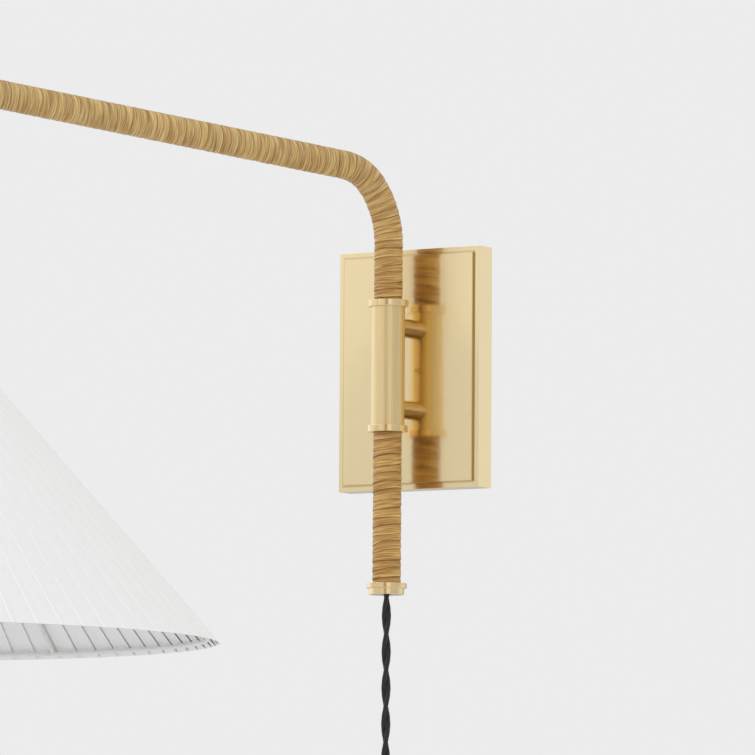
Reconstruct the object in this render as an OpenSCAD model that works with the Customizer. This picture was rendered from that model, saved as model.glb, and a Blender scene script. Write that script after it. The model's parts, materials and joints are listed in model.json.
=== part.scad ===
// Plug-in swing arm wall sconce: a cane-wrapped arm turns in a brass barrel on a two-tier wall plate,
// and carries a lamp holder with a knife-pleated cone shade.
// Origin at the centre of the wall face, +Y into the wall, -Y into the room, +Z up. Millimetres.

/* [Wall plate] */
// Width of the wall plate
plate_w = 115; // [100:1:160]
// Height of the wall plate
plate_h = 168; // [150:1:220]
// Depth of the cover, from the wall to its front face
plate_depth = 17; // [15:0.5:26]
// Wall thickness of the cover
cover_wall = 1.6; // [1:0.1:2.4]
// How far the raised panel stands in front of the cover
panel_proud = 1.9; // [1:0.1:5]
// Width of the ledge left around the raised panel
panel_ledge = 4.2; // [2:0.1:9]

/* [Wall bracket] */
// Width of the bracket behind the cover
bracket_w = 60; // [40:1:90]
// Sheet thickness of the bracket
bracket_t = 2; // [1.5:0.1:3]
// Thickness of the bracket's tapped end tabs
tab_t = 3; // [2:0.1:5]
// Depth of the end tabs from the wall
tab_depth = 11; // [9:0.5:13]
// Distance between the two wall screw holes, as on a standard round box
wall_hole_spacing = 88.9; // [70:0.1:100]
// Diameter of the wall screw holes
wall_hole_d = 5; // [4:0.1:6]
// Diameter of the cover's grub screws
cover_screw_d = 3; // [2:0.5:4]
// Length of the cover's grub screws
cover_screw_len = 6; // [5:0.5:8]

/* [Posts] */
// Diameter of the two posts
post_d = 13; // [8:0.1:15]
// Distance from each end of the barrel to the nearer post
post_inset = 17.5; // [12:0.5:30]
// Diameter of the screws that hold the posts
post_screw_d = 5; // [3:0.5:6]
// Length of post screw inside the post
post_screw_grip = 6; // [4:0.5:8]
// Height of the post screws' heads
screw_head_h = 3.2; // [2:0.1:4]
// Width of the stiffener behind the cover
stiffener_w = 26; // [18:1:40]
// Thickness of the stiffener
stiffener_t = 3; // [2:0.1:4]
// Thickness of the washers under the screw heads
washer_t = 1; // [0.5:0.1:1.5]

/* [Barrel] */
// Distance from the wall to the axis that the arm swings on
pivot_off = 44; // [40:0.5:60]
// Outer diameter of the barrel
barrel_od = 23.4; // [23:0.1:30]
// Wall thickness of the barrel
barrel_wall = 1.2; // [1:0.1:2]
// Height of the barrel with its collars
barrel_h = 92; // [80:1:140]
// Outer diameter of the two collars
collar_od = 28; // [27:0.1:34]
// Height of each collar
collar_h = 4.6; // [4:0.1:9]
// Thickness of the collar's lip over the barrel's end
collar_lip = 1.6; // [1:0.1:2.5]
// Length of each bushing
bushing_len = 12; // [8:0.5:20]
// Thickness of the rings on the arm that bear on the bushings
thrust_t = 2; // [1.5:0.1:3]
// Diameter of the screw that sets the arm's friction
friction_screw_d = 4; // [3:0.5:5]

/* [Arm] */
// Swing of the arm to the left of straight out
swing = 32.4; // [0:0.1:55]
// Rise of the arm above level
arm_rise = 7.4; // [0:0.1:15]
// Reach from the swing axis to the shade's axis
reach = 423.5; // [360:0.5:520]
// Height at which the post and the arm would meet in a sharp corner
corner_z = 134.6; // [125:0.1:180]
// Angle through which the post leans over in its long first bend
lean = 35.5; // [10:0.5:50]
// Radius of that first bend, on the tube's centreline
lean_r = 69; // [50:1:90]
// Radius of the tight bend that follows it
bend_r = 33; // [30:1:45]
// Radius of the bend down to the lamp
drop_r = 48; // [35:1:60]
// Outer diameter of the metal tube
tube_od = 17; // [15:0.1:18]
// Wall thickness of the metal tube
tube_wall = 1.5; // [1:0.1:2]
// Thickness of the cane wrap
wrap_t = 1.8; // [1:0.1:1.9]
// Depth of the tube's lower end below the plate's centre
tail_drop = 151; // [80:1:200]
// Height of the tube's lamp end above the plate's centre
lamp_end_z = 84; // [75:1:100]

/* [End caps] */
// Diameter of the flange on the cap and on the ferrule
cap_flange_d = 27.8; // [24:0.1:34]
// Height of that flange
cap_flange_h = 3.6; // [3:0.1:8]
// Diameter of the cap's smaller step
cap_tip_d = 24.2; // [20:0.1:30]
// Height of the smaller step
cap_tip_h = 4.4; // [2.5:0.1:8]
// Length of the spigot inside the tube
spigot_len = 12; // [8:0.5:20]

/* [Lamp holder] */
// Outer diameter of the holder above its shoulder
holder_d = 41.5; // [41:0.1:48]
// Outer diameter of the threaded skirt below the shoulder
skirt_d = 38.5; // [37.5:0.1:39.5]
// Wall thickness of the holder's shell
holder_wall = 1; // [0.8:0.1:1.2]
// Height of the domed holder cap
holder_cap_h = 15; // [12:0.5:22]
// Length of the holder above its shoulder
holder_body_h = 31; // [28:0.5:40]
// Length of the threaded skirt
skirt_h = 22; // [20:0.5:28]
// Diameter of the lamp's screw base
lamp_base_d = 26.3; // [26:0.1:26.6]
// Diameter of the glass bulb
bulb_d = 60; // [45:1:80]
// Length of the bulb below the holder
bulb_len = 82; // [70:1:110]
// Diameter of the hollow stem that joins the ferrule and the holder
stem_od = 10; // [8:0.1:11]
// Bore of that stem
stem_id = 7; // [6.9:0.1:7.4]
// Height of the shade ring nut
ring_nut_h = 6; // [4:0.5:9]
// Outer diameter of the shade ring nut
ring_nut_d = 50; // [46:0.5:54]

/* [Switch] */
// Diameter of the turn switch's shaft
switch_shaft_d = 4; // [3:0.1:5]
// Diameter of the turn switch's knob
switch_knob_d = 10; // [8:0.5:14]
// Length of the knob
switch_knob_len = 12; // [9:0.5:16]

/* [Shade] */
// Diameter of the shade at its bottom edge
shade_bottom_d = 547; // [460:1:570]
// Diameter of the shade at its top edge
shade_top_d = 78; // [76:1:160]
// Height of the shade
shade_h = 268; // [200:1:290]
// Height of the shade's bottom edge, measured from the plate's centre
shade_bottom_z = -202.4; // [-240:0.1:-190]
// Number of knife pleats
pleats = 92; // [48:1:120]
// Depth of a pleat at the bottom edge
pleat_depth = 3; // [1.5:0.1:5]
// Thickness of the pleated cloth with its folds
shade_t = 1.2; // [0.8:0.1:2]
// Wire diameter of the shade's two rings
ring_wire = 3; // [2:0.1:4]
// Wire diameter of the shade's ribs
rib_wire = 2.2; // [1.6:0.1:3]
// Number of ribs
ribs = 6; // [4:1:8]

/* [Cord] */
// Diameter of the twisted cloth cord
cord_d = 6.5; // [5:0.1:6.8]
// Width of the plug's body
plug_w = 24; // [22:0.5:32]
// Depth of the plug's body
plug_depth = 15; // [13:0.5:22]
// Length of the plug's body
plug_len = 30; // [24:0.5:45]
// Distance between the plug's blades
blade_pitch = 12.7; // [12:0.1:13.5]
// Length of the plug's blades
blade_len = 16; // [14:0.1:18]

/* [Fits] */
// Radial clearance of the arm in its bushings and the switch shaft in its hole
running_gap = 0.05; // [0.02:0.01:0.09]
// Radial gap of pieces that are brazed, pressed or screwed together
seat_gap = 0.05; // [0.02:0.01:0.1]
// Radial gap between the wrap and the lips that it passes
wrap_gap = 0.4; // [0.3:0.05:0.8]
// Gap between the arm's rings and the bushings
end_play = 0.1; // [0.05:0.05:0.3]

/* [Hidden] */
$fn = 72;
past = 1;
hex_share = 0.5;
hex_deep = 1.5;

// Wall plate
panel_w = plate_w - 2 * panel_ledge;
panel_h = plate_h - 2 * panel_ledge;
panel_front = plate_depth + panel_proud;
cover_inside = plate_depth - cover_wall;
cover_clear = 0.3;
tab_z = plate_h / 2 - cover_wall - cover_clear;
cover_screw_y = (bracket_t + tab_depth) / 2;
cover_screw_recess = 0.4;

// Post screws: their heads lie inside the cover, their ends inside the posts
screw_head_d = 1.8 * post_screw_d;
washer_d = screw_head_d + 3;
washer_y = cover_inside - stiffener_t;
head_y = washer_y - washer_t;
screw_hole_d = post_screw_d + 0.5;
post_z = barrel_h / 2 - post_inset;
tapped_extra = 1.2;

// Barrel, from the middle outwards
barrel_id = barrel_od - 2 * barrel_wall;
barrel_end = barrel_h / 2 - collar_lip;
collar_play = 0.2;
thrust_end = barrel_end - collar_play;
wrap_start = barrel_end + collar_play / 2;
bushing_end = thrust_end - thrust_t - end_play;
wrap_d = tube_od + 2 * wrap_t;
lip_d = wrap_d + 2 * wrap_gap;
tube_id = tube_od - 2 * tube_wall;
friction_screw_out = 1.6;
friction_screw_end = barrel_od / 2 + friction_screw_out;

// Arm: the tube climbs, leans over, bends tighter, rises with the arm and bends down to the lamp
turn_out = 90 - arm_rise;
turn_down = 90 + arm_rise;
tangent_down = drop_r * tan(turn_down / 2);
bend_out = lean_r * (1 - cos(lean)) + bend_r * (cos(lean) - cos(turn_out));
bend_up = lean_r * sin(lean) + bend_r * (sin(turn_out) - sin(lean));
lean_z = corner_z + bend_out * tan(arm_rise) - bend_up;
far_corner_z = corner_z + reach * tan(arm_rise);
arm_straight = (reach - bend_out) / cos(arm_rise) - tangent_down;
bend_draw = 0.2;
bend_lap = 1;
grommet_wall = 1;
grommet_od = cord_d + 2 * grommet_wall;

// Lamp holder, from the ferrule down
ferrule_bottom_z = lamp_end_z - cap_flange_h - cap_tip_h;
holder_top_z = ferrule_bottom_z;
holder_body_z = holder_top_z - holder_cap_h;
shoulder_z = holder_body_z - holder_body_h;
skirt_end_z = shoulder_z - skirt_h;
stem_reach = 9;
stem_grip = cap_flange_h + cap_tip_h + spigot_len / 2;
dome_over = 2;
cap_rebate = 5;
cap_room_d = holder_d / 2;
cap_roof = 2;
core_d = skirt_d - 2 * holder_wall - 2 * seat_gap;
core_below = 4;
core_top_z = holder_body_z - core_below;
core_inset = 1;
lamp_shell_t = 0.8;
lamp_shell_d = lamp_base_d + 0.4 + 2 * lamp_shell_t;
lamp_shell_inset = 1.5;
lamp_shell_h = 22;
lamp_socket_h = 27;
lamp_socket_top_z = skirt_end_z + lamp_socket_h;
contact_h = 3;
contact_t = 0.6;
contact_w = 5;
contact_len = 12;
lamp_tip_z = lamp_socket_top_z - contact_h;
lamp_tip_d = 10;
lamp_tip_h = 3;
lamp_base_top_z = lamp_tip_z - lamp_tip_h;
lamp_base_inset = 0.5;
lamp_base_bottom_z = skirt_end_z + lamp_base_inset;
glass_t = 0.8;
glass_neck_d = lamp_base_d - 1;
nut_rim_h = 2;
nut_rim_w = 2;

// Shade: the fitter ring clamps under the holder's shoulder
fitter_t = 2;
fitter_bore = skirt_d + 0.6;
fitter_d = ring_nut_d + 4;
nut_top_z = shoulder_z - fitter_t;
shade_top_z = shade_bottom_z + shade_h;
shade_slope = (shade_bottom_d - shade_top_d) / 2 / shade_h;
frame_top_z = shade_top_z - ring_wire;
frame_bottom_z = shade_bottom_z + ring_wire;
frame_top_r = wire_seat_r(frame_top_z);
frame_bottom_r = wire_seat_r(frame_bottom_z);
spokes = 3;
spoke_d = 3;
spoke_grip = 3.5;
shade_lengths = 14;
fold_place = 0.96;

// Radius at which a ring's wire lies inside the cloth's inner folds
function wire_seat_r(z) = (shade_bottom_d / 2 - (z - shade_bottom_z) * shade_slope - shade_t)
    * (1 - 2 * pleat_depth / shade_bottom_d) - (ring_wire / 2 + seat_gap) * norm([1, shade_slope]);

// Turn switch through the holder's side
switch_below = 11;
switch_z = holder_body_z - switch_below;
switch_inner = 9;
switch_stub = 5;
knob_grip = 8;
flutes = 10;
flute_d = 2;
flute_deep = 0.5;

// Free cord: the lead hangs from the end cap, in the arm's own frame
cord_exit_z = -tail_drop - cap_flange_h - cap_tip_h;
lead_route = [
    [0, 0, -159], [0, 0, -172], [0, 0, -185], [0, 0, -198], [0, 0, -211], [0, 0, -224],
    [0, 0, -237], [0, 0, -249], [0, 0, -260], [0, 0, -270], [0, 0, -279], [0, 0, -288]
];
tail_route = [
    [-18.5, 3.25, -423], [-14, 3.25, -428], [-9.5, 3, -433], [-5.5, 2.5, -438.5], [-2.5, 1.5, -444.5],
    [-0.6, 0.6, -451], [0, 0, -457.5], [0, 0, -464]
];
hank_top_z = -306;
hank_run = 98;
hank_back = 2 * cord_d;
hank_fold_r = 19.75;
hank_end_r = hank_fold_r + cord_d;
hank_waist = 1.5 * cord_d;
hank_layers = 4;
hank_t = hank_layers * cord_d;
hank_mid_z = hank_top_z - hank_run / 2;
tie_t = 1.2;
tie_h = 10;
tie_gap = 0.3;
plug_top_z = -464;
relief_h = 14;
relief_top_d = cord_d + 1;
relief_bottom_d = plug_depth - 3;
blade_t = 1.5;
blade_w = 6.3;
cord_sides = 8;

// ---- Wall side ----

module from_wall(y) {
    translate([0, -y, 0]) rotate([90, 0, 0]) children();
}

module at_posts() {
    for (side = [-1, 1]) translate([0, 0, side * post_z]) children();
}

module mounting_bracket() {
    color("lightgray") difference() {
        union() {
            translate([-bracket_w / 2, -bracket_t, -tab_z]) cube([bracket_w, bracket_t, 2 * tab_z]);
            for (side = [0, 1]) mirror([0, 0, side])
                translate([-bracket_w / 4, -tab_depth, tab_z - tab_t]) cube([bracket_w / 2, tab_depth, tab_t]);
        }
        for (side = [-1, 1]) translate([0, past, side * wall_hole_spacing / 2])
            rotate([90, 0, 0]) cylinder(d = wall_hole_d, h = bracket_t + 2 * past);
        for (side = [0, 1]) mirror([0, 0, side])
            translate([0, -cover_screw_y, tab_z - tab_t - past])
                cylinder(d = cover_screw_d + 2 * seat_gap, h = tab_t + 2 * past);
    }
}

module backplate_cover() {
    color("darkkhaki") difference() {
        translate([-plate_w / 2, -plate_depth, -plate_h / 2]) cube([plate_w, plate_depth, plate_h]);
        translate([-plate_w / 2 + cover_wall, -cover_inside, -plate_h / 2 + cover_wall])
            cube([plate_w - 2 * cover_wall, cover_inside + past, plate_h - 2 * cover_wall]);
        at_posts() from_wall(cover_inside - past) cylinder(d = screw_hole_d, h = cover_wall + 2 * past);
        for (side = [0, 1]) mirror([0, 0, side])
            translate([0, -cover_screw_y, plate_h / 2 - cover_wall - past])
                cylinder(d = cover_screw_d + 2 * seat_gap, h = cover_wall + 2 * past);
    }
}

module face_panel() {
    color("gold") difference() {
        translate([-panel_w / 2, -panel_front, -panel_h / 2]) cube([panel_w, panel_proud, panel_h]);
        at_posts() from_wall(plate_depth - past) cylinder(d = screw_hole_d, h = panel_proud + 2 * past);
    }
}

module cover_screws() {
    color("dimgray") for (side = [0, 1]) mirror([0, 0, side])
        translate([0, -cover_screw_y, plate_h / 2 - cover_screw_recess - cover_screw_len]) difference() {
            cylinder(d = cover_screw_d, h = cover_screw_len);
            translate([0, 0, cover_screw_len - hex_deep])
                cylinder(d = cover_screw_d * hex_share, h = hex_deep + past, $fn = 6);
        }
}

module stiffener_bar() {
    color("silver") difference() {
        translate([-stiffener_w / 2, -cover_inside, -post_z - stiffener_w / 2])
            cube([stiffener_w, stiffener_t, 2 * post_z + stiffener_w]);
        at_posts() from_wall(cover_inside - stiffener_t - past)
            cylinder(d = screw_hole_d, h = stiffener_t + 2 * past);
    }
}

module post() {
    color("goldenrod") difference() {
        from_wall(panel_front) cylinder(d = post_d, h = pivot_off - panel_front);
        translate([0, -pivot_off, -post_d]) cylinder(d = barrel_od + 2 * seat_gap, h = 2 * post_d);
        from_wall(panel_front - past)
            cylinder(d = post_screw_d + 2 * seat_gap, h = post_screw_grip + tapped_extra + past);
    }
}

module post_upper() {
    translate([0, 0, post_z]) post();
}

module post_lower() {
    translate([0, 0, -post_z]) post();
}

module post_screws() {
    color("dimgray") at_posts() difference() {
        union() {
            from_wall(head_y) cylinder(d = post_screw_d, h = panel_front + post_screw_grip - head_y);
            from_wall(head_y - screw_head_h) cylinder(d = screw_head_d, h = screw_head_h);
        }
        from_wall(head_y - screw_head_h - past)
            cylinder(d = screw_head_d * hex_share, h = past + hex_deep, $fn = 6);
    }
}

module post_washers() {
    color("silver") at_posts() from_wall(head_y) difference() {
        cylinder(d = washer_d, h = washer_t);
        translate([0, 0, -past]) cylinder(d = screw_hole_d, h = washer_t + 2 * past);
    }
}

// ---- Barrel on the swing axis ----

module on_pivot() {
    translate([0, -pivot_off, 0]) children();
}

module ring(outer, inner, bottom, height) {
    translate([0, 0, bottom]) difference() {
        cylinder(d = outer, h = height);
        translate([0, 0, -past]) cylinder(d = inner, h = height + 2 * past);
    }
}

module barrel() {
    color("khaki") on_pivot() difference() {
        ring(barrel_od, barrel_id, -barrel_end, 2 * barrel_end);
        rotate([-90, 0, 0]) cylinder(d = friction_screw_d + 2 * seat_gap, h = barrel_od);
    }
}

module collar() {
    color("gold") on_pivot() difference() {
        translate([0, 0, barrel_h / 2 - collar_h]) cylinder(d = collar_od, h = collar_h);
        translate([0, 0, barrel_end - collar_h]) cylinder(d = barrel_od + 2 * seat_gap, h = collar_h);
        cylinder(d = lip_d, h = barrel_h);
    }
}

module collar_top() {
    collar();
}

module collar_bottom() {
    mirror([0, 0, 1]) collar();
}

module bushing_upper() {
    color("white") on_pivot()
        ring(barrel_id - 2 * seat_gap, tube_od + 2 * running_gap, bushing_end - bushing_len, bushing_len);
}

module bushing_lower() {
    color("white") on_pivot()
        ring(barrel_id - 2 * seat_gap, tube_od + 2 * running_gap, -bushing_end, bushing_len);
}

module friction_screw() {
    tip = tube_od / 2 + running_gap;
    color("dimgray") on_pivot() difference() {
        translate([0, tip, 0]) rotate([-90, 0, 0]) cylinder(d = friction_screw_d, h = friction_screw_end - tip);
        translate([0, friction_screw_end - hex_deep, 0]) rotate([-90, 0, 0])
            cylinder(d = friction_screw_d * hex_share, h = hex_deep + past, $fn = 6);
    }
}

// ---- Arm, drawn along -Y and then swung to the left ----

module arm_side() {
    on_pivot() rotate([0, 0, -swing]) children();
}

module under_lamp() {
    arm_side() translate([0, -reach, 0]) children();
}

module bend(d, r, from, turn) {
    rotate([90, 0, 90]) rotate([0, 0, from]) rotate_extrude(angle = turn) translate([r, 0]) circle(d = d);
}

// The arm's own line, as a solid rod of diameter d from the post at height from_z to the lamp at height to_z.
// It draws in a little at each bend, and each length laps over the end of the thinner one next to it.
module along_arm(d, from_z, to_z) {
    down_z = far_corner_z - tangent_down;
    lap_turn = bend_lap / lean_r * 180 / PI;
    translate([0, 0, from_z]) cylinder(d = d, h = lean_z - from_z + bend_lap);
    translate([0, -lean_r, lean_z]) {
        bend(d - bend_draw, lean_r, 0, lean + lap_turn);
        translate([0, (lean_r - bend_r) * cos(lean), (lean_r - bend_r) * sin(lean)])
            bend(d - 2 * bend_draw, bend_r, lean, turn_out - lean);
    }
    translate([0, 0, corner_z]) rotate([turn_out, 0, 0])
        translate([0, 0, bend_out / cos(arm_rise) - bend_lap]) cylinder(d = d, h = arm_straight + 2 * bend_lap);
    translate([0, drop_r - reach, down_z]) bend(d - bend_draw, drop_r, turn_out, turn_down);
    translate([0, -reach, to_z]) cylinder(d = d, h = down_z - to_z + bend_lap);
}

module arm_tube() {
    color("silver") arm_side() difference() {
        along_arm(tube_od, -tail_drop, lamp_end_z);
        along_arm(tube_id, -tail_drop - past, lamp_end_z - past);
    }
}

module thrust_ring() {
    color("goldenrod") on_pivot()
        ring(barrel_id - 2 * wrap_gap, tube_od + 2 * seat_gap, thrust_end - thrust_t, thrust_t);
}

module retaining_ring() {
    mirror([0, 0, 1]) thrust_ring();
}

module cane_wrap_lower() {
    color("tan") arm_side() ring(wrap_d, tube_od + 2 * seat_gap, -tail_drop, tail_drop - wrap_start);
}

module cane_wrap_arm() {
    color("tan") arm_side() difference() {
        along_arm(wrap_d, wrap_start, lamp_end_z);
        along_arm(tube_od + 2 * seat_gap, wrap_start - past, lamp_end_z - past);
    }
}

// A turned cap: spigot inside the tube, flange under the wrap's end, and a smaller step
module turned_cap(bore) {
    difference() {
        union() {
            translate([0, 0, -cap_flange_h - cap_tip_h]) cylinder(d = cap_tip_d, h = cap_tip_h);
            translate([0, 0, -cap_flange_h]) cylinder(d = cap_flange_d, h = cap_flange_h);
            cylinder(d = tube_id - 2 * seat_gap, h = spigot_len);
        }
        translate([0, 0, -cap_flange_h - cap_tip_h - past])
            cylinder(d = bore, h = cap_flange_h + cap_tip_h + spigot_len + 2 * past);
    }
}

module end_cap() {
    color("gold") arm_side() translate([0, 0, -tail_drop]) turned_cap(grommet_od + 2 * seat_gap);
}

module cord_grommet() {
    color("black") arm_side() ring(grommet_od, cord_d + 2 * seat_gap, cord_exit_z, cap_flange_h + cap_tip_h);
}

module inner_cord() {
    color("dimgray") arm_side() along_arm(cord_d, cord_exit_z, core_top_z);
}

module arm_ferrule() {
    color("gold") under_lamp() translate([0, 0, lamp_end_z]) turned_cap(stem_od + 2 * seat_gap);
}

// ---- Lamp holder ----

module holder_stem() {
    color("silver") under_lamp()
        ring(stem_od, stem_id, holder_top_z - stem_reach, stem_reach + stem_grip);
}

module holder_cap() {
    color("gold") under_lamp() translate([0, 0, holder_body_z]) difference() {
        rotate_extrude() intersection() {
            square([holder_d / 2, holder_cap_h]);
            scale([1, (holder_cap_h + dome_over) / (holder_d / 2)]) circle(d = holder_d);
        }
        translate([0, 0, -past]) cylinder(d = holder_d - 2 * holder_wall, h = cap_rebate + past);
        cylinder(d = cap_room_d, h = holder_cap_h - cap_roof);
        cylinder(d = stem_od + 2 * seat_gap, h = holder_cap_h + past);
    }
}

module holder_shell() {
    inside = skirt_d - 2 * holder_wall;
    color("gold") under_lamp() difference() {
        union() {
            translate([0, 0, shoulder_z]) cylinder(d = holder_d, h = holder_body_h);
            translate([0, 0, skirt_end_z]) cylinder(d = skirt_d, h = skirt_h);
        }
        translate([0, 0, skirt_end_z - past]) cylinder(d = inside, h = skirt_h + holder_body_h + 2 * past);
        translate([0, 0, switch_z]) rotate([0, 90, 0])
            cylinder(d = switch_shaft_d + 2 * running_gap, h = holder_d);
    }
}

module holder_core() {
    core_bottom_z = skirt_end_z + core_inset;
    color("dimgray") under_lamp() difference() {
        translate([0, 0, core_bottom_z]) cylinder(d = core_d, h = core_top_z - core_bottom_z);
        translate([0, 0, skirt_end_z]) cylinder(d = lamp_shell_d + 2 * seat_gap, h = lamp_socket_h);
        translate([0, 0, switch_z]) rotate([0, 90, 0]) translate([0, 0, switch_inner - wrap_gap])
            cylinder(d = switch_shaft_d + 2 * wrap_gap, h = core_d);
    }
}

module screw_shell() {
    color("goldenrod") under_lamp()
        ring(lamp_shell_d, lamp_shell_d - 2 * lamp_shell_t, skirt_end_z + lamp_shell_inset, lamp_shell_h);
}

module centre_contact() {
    color("goldenrod") under_lamp() translate([-contact_len / 2, 0, lamp_tip_z]) difference() {
        translate([0, -contact_w / 2, 0]) cube([contact_len, contact_w, contact_h]);
        translate([contact_w / 2, -contact_w, contact_t])
            cube([contact_len, 2 * contact_w, contact_h - 2 * contact_t]);
    }
}

module ring_nut() {
    color("gold") under_lamp() difference() {
        union() {
            translate([0, 0, nut_top_z - ring_nut_h]) cylinder(d = ring_nut_d - 2 * nut_rim_w, h = ring_nut_h);
            translate([0, 0, nut_top_z - nut_rim_h]) cylinder(d = ring_nut_d, h = nut_rim_h);
        }
        translate([0, 0, nut_top_z - ring_nut_h - past])
            cylinder(d = skirt_d + 2 * seat_gap, h = ring_nut_h + 2 * past);
    }
}

// ---- Shade ----

module shade_fitter() {
    rise = frame_top_z - shoulder_z + fitter_t / 2;
    run = frame_top_r - fitter_d / 2 + spoke_grip;
    spoke_len = norm([rise, run]) - ring_wire / 2 - seat_gap;
    color("white") under_lamp() {
        ring(fitter_d, fitter_bore, nut_top_z, fitter_t);
        for (i = [0:spokes - 1]) rotate([0, 0, i * 360 / spokes + 30])
            translate([fitter_d / 2 - spoke_grip, 0, shoulder_z - fitter_t / 2])
                rotate([0, 90 - atan2(rise, run), 0]) cylinder(d = spoke_d, h = spoke_len, $fn = 24);
    }
}

module wire_ring(r, z, wire) {
    translate([0, 0, z]) rotate_extrude() translate([r, 0]) circle(d = wire, $fn = 24);
}

module shade_frame() {
    run = frame_bottom_r - frame_top_r;
    drop = frame_top_z - frame_bottom_z;
    color("white") under_lamp() {
        wire_ring(frame_top_r, frame_top_z, ring_wire);
        wire_ring(frame_bottom_r, frame_bottom_z, ring_wire);
        for (i = [0:ribs - 1]) rotate([0, 0, i * 360 / ribs]) translate([frame_top_r, 0, frame_top_z])
            rotate([0, 180 - atan2(run, drop), 0]) cylinder(d = rib_wire, h = norm([run, drop]), $fn = 24);
    }
}

// A run of pleats at one level: each climbs to its folded edge, and the next one starts below that edge
function pleat_line(first, last, r, z) = [
    for (i = [first:last], edge = [0, 1])
        let (a = (i + edge * fold_place) * 360 / pleats,
             at = r * (1 - (1 - edge) * 2 * pleat_depth / shade_bottom_d))
            [at * cos(a), at * sin(a), z]
];

// One of the lengths of cloth that make up the shade: a closed strip through four lines, up the outside and
// down the inside. Its last fold hides the start of the next length.
module shade_length(part) {
    first = floor(part * pleats / shade_lengths);
    last = floor((part + 1) * pleats / shade_lengths) - 1;
    bottom_r = shade_bottom_d / 2;
    top_r = shade_top_d / 2;
    lines = concat(pleat_line(first, last, bottom_r, 0), pleat_line(first, last, top_r, shade_h),
        pleat_line(first, last, top_r - shade_t, shade_h), pleat_line(first, last, bottom_r - shade_t, 0));
    count = 2 * (last - first + 1);
    start = [3 * count, 2 * count, count, 0];
    end = [count - 1, 2 * count - 1, 3 * count - 1, 4 * count - 1];
    walls = [
        for (j = [0:3], k = [0:count - 2])
            let (a = j * count, b = (j + 1) % 4 * count) [b + k, b + k + 1, a + k + 1, a + k]
    ];
    polyhedron(points = lines, faces = concat(walls, [start], [end]), convexity = 6);
}

module pleated_shade() {
    color("whitesmoke") under_lamp() translate([0, 0, shade_bottom_z])
        for (part = [0:shade_lengths - 1]) shade_length(part);
}

// ---- Lamp ----

module bulb_base() {
    color("silver") under_lamp() {
        translate([0, 0, lamp_base_bottom_z])
            cylinder(d = lamp_base_d, h = lamp_base_top_z - lamp_base_bottom_z);
        translate([0, 0, lamp_base_top_z]) cylinder(d1 = lamp_base_d, d2 = lamp_tip_d, h = lamp_tip_h);
    }
}

module bulb_outline(inset) {
    ball_r = bulb_d / 2 - inset;
    ball_y = bulb_d / 2 - bulb_len;
    join = 35;
    neck_r = glass_neck_d / 2 - inset;
    intersection() {
        union() {
            translate([0, ball_y]) circle(r = ball_r, $fn = 96);
            polygon([[0, ball_y], [ball_r * cos(join), ball_y + ball_r * sin(join)], [neck_r, 0], [0, 0]]);
        }
        translate([0, -2 * bulb_len]) square([bulb_d, 2 * bulb_len]);
    }
}

module bulb_glass() {
    color("white", 0.6) under_lamp() translate([0, 0, lamp_base_bottom_z]) rotate_extrude() difference() {
        bulb_outline(0);
        bulb_outline(glass_t);
    }
}

// ---- Turn switch ----

module on_switch_axis(out) {
    under_lamp() translate([0, 0, switch_z]) rotate([0, 90, 0]) translate([0, 0, out]) children();
}

module switch_shaft() {
    color("silver") on_switch_axis(switch_inner)
        cylinder(d = switch_shaft_d, h = holder_d / 2 + switch_stub + knob_grip - switch_inner);
}

module switch_knob() {
    color("gold") on_switch_axis(holder_d / 2 + switch_stub) difference() {
        cylinder(d = switch_knob_d, h = switch_knob_len);
        translate([0, 0, -past]) cylinder(d = switch_shaft_d + 2 * seat_gap, h = knob_grip + past);
        for (i = [0:flutes - 1]) rotate([0, 0, i * 360 / flutes])
            translate([(switch_knob_d + flute_d) / 2 - flute_deep, 0, flute_d])
                cylinder(d = flute_d, h = switch_knob_len, $fn = 16);
    }
}

// ---- Free cord: a tube swept along the route's own points ----

function unit(v) = v / norm(v);
function route_way(route, i) = unit(route[min(i + 1, len(route) - 1)] - route[max(i - 1, 0)]);
function route_side(way) = unit(cross(way, [0, 1, 0]));

module swept_cord(route) {
    n = len(route);
    rings = [
        for (i = [0:n - 1], k = [0:cord_sides - 1])
            let (way = route_way(route, i), u = route_side(way), v = cross(way, u), a = k * 360 / cord_sides)
                route[i] + cord_d / 2 * (cos(a) * u + sin(a) * v)
    ];
    around = [for (k = [0:cord_sides - 1]) k];
    walls = [
        for (i = [0:n - 2], k = around)
            let (next = (k + 1) % cord_sides, a = i * cord_sides, b = a + cord_sides)
                [a + k, b + k, b + next, a + next]
    ];
    top = [for (k = around) k];
    bottom = [for (k = around) n * cord_sides - 1 - k];
    polyhedron(points = rings, faces = concat(walls, [top], [bottom]), convexity = 4);
}

module power_cord() {
    color("black") arm_side() swept_cord(lead_route);
}

module cord_tail() {
    color("black") arm_side() swept_cord(tail_route);
}

// Half width of the hank's legs at a height: tied together at the waist, open at the ends
function leg_half(t) = hank_waist + (hank_end_r - hank_waist) * pow(sin(90 * abs(t)), 2) + cord_d / 2;

module hank_outline() {
    steps = 12;
    half = hank_run / 2;
    legs = [for (i = [-steps:steps]) [leg_half(i / steps), half * i / steps]];
    back = [for (i = [steps:-1:-steps]) [-leg_half(i / steps), half * i / steps]];
    polygon(concat(legs, back));
    for (side = [-1, 1]) translate([0, side * half]) circle(r = hank_end_r + cord_d / 2);
}

module cord_hank() {
    color("black") arm_side() translate([0, hank_back + hank_t / 2, hank_mid_z]) rotate([90, 0, 0])
        linear_extrude(height = hank_t) hank_outline();
}

module hank_tie() {
    half_w = leg_half(0.12) + tie_gap;
    half_t = hank_t / 2 + tie_gap;
    color("dimgray") arm_side() translate([0, hank_back, hank_mid_z - tie_h / 2]) linear_extrude(height = tie_h)
        difference() {
            square([2 * (half_w + tie_t), 2 * (half_t + tie_t)], center = true);
            square([2 * half_w, 2 * half_t], center = true);
        }
}

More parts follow.
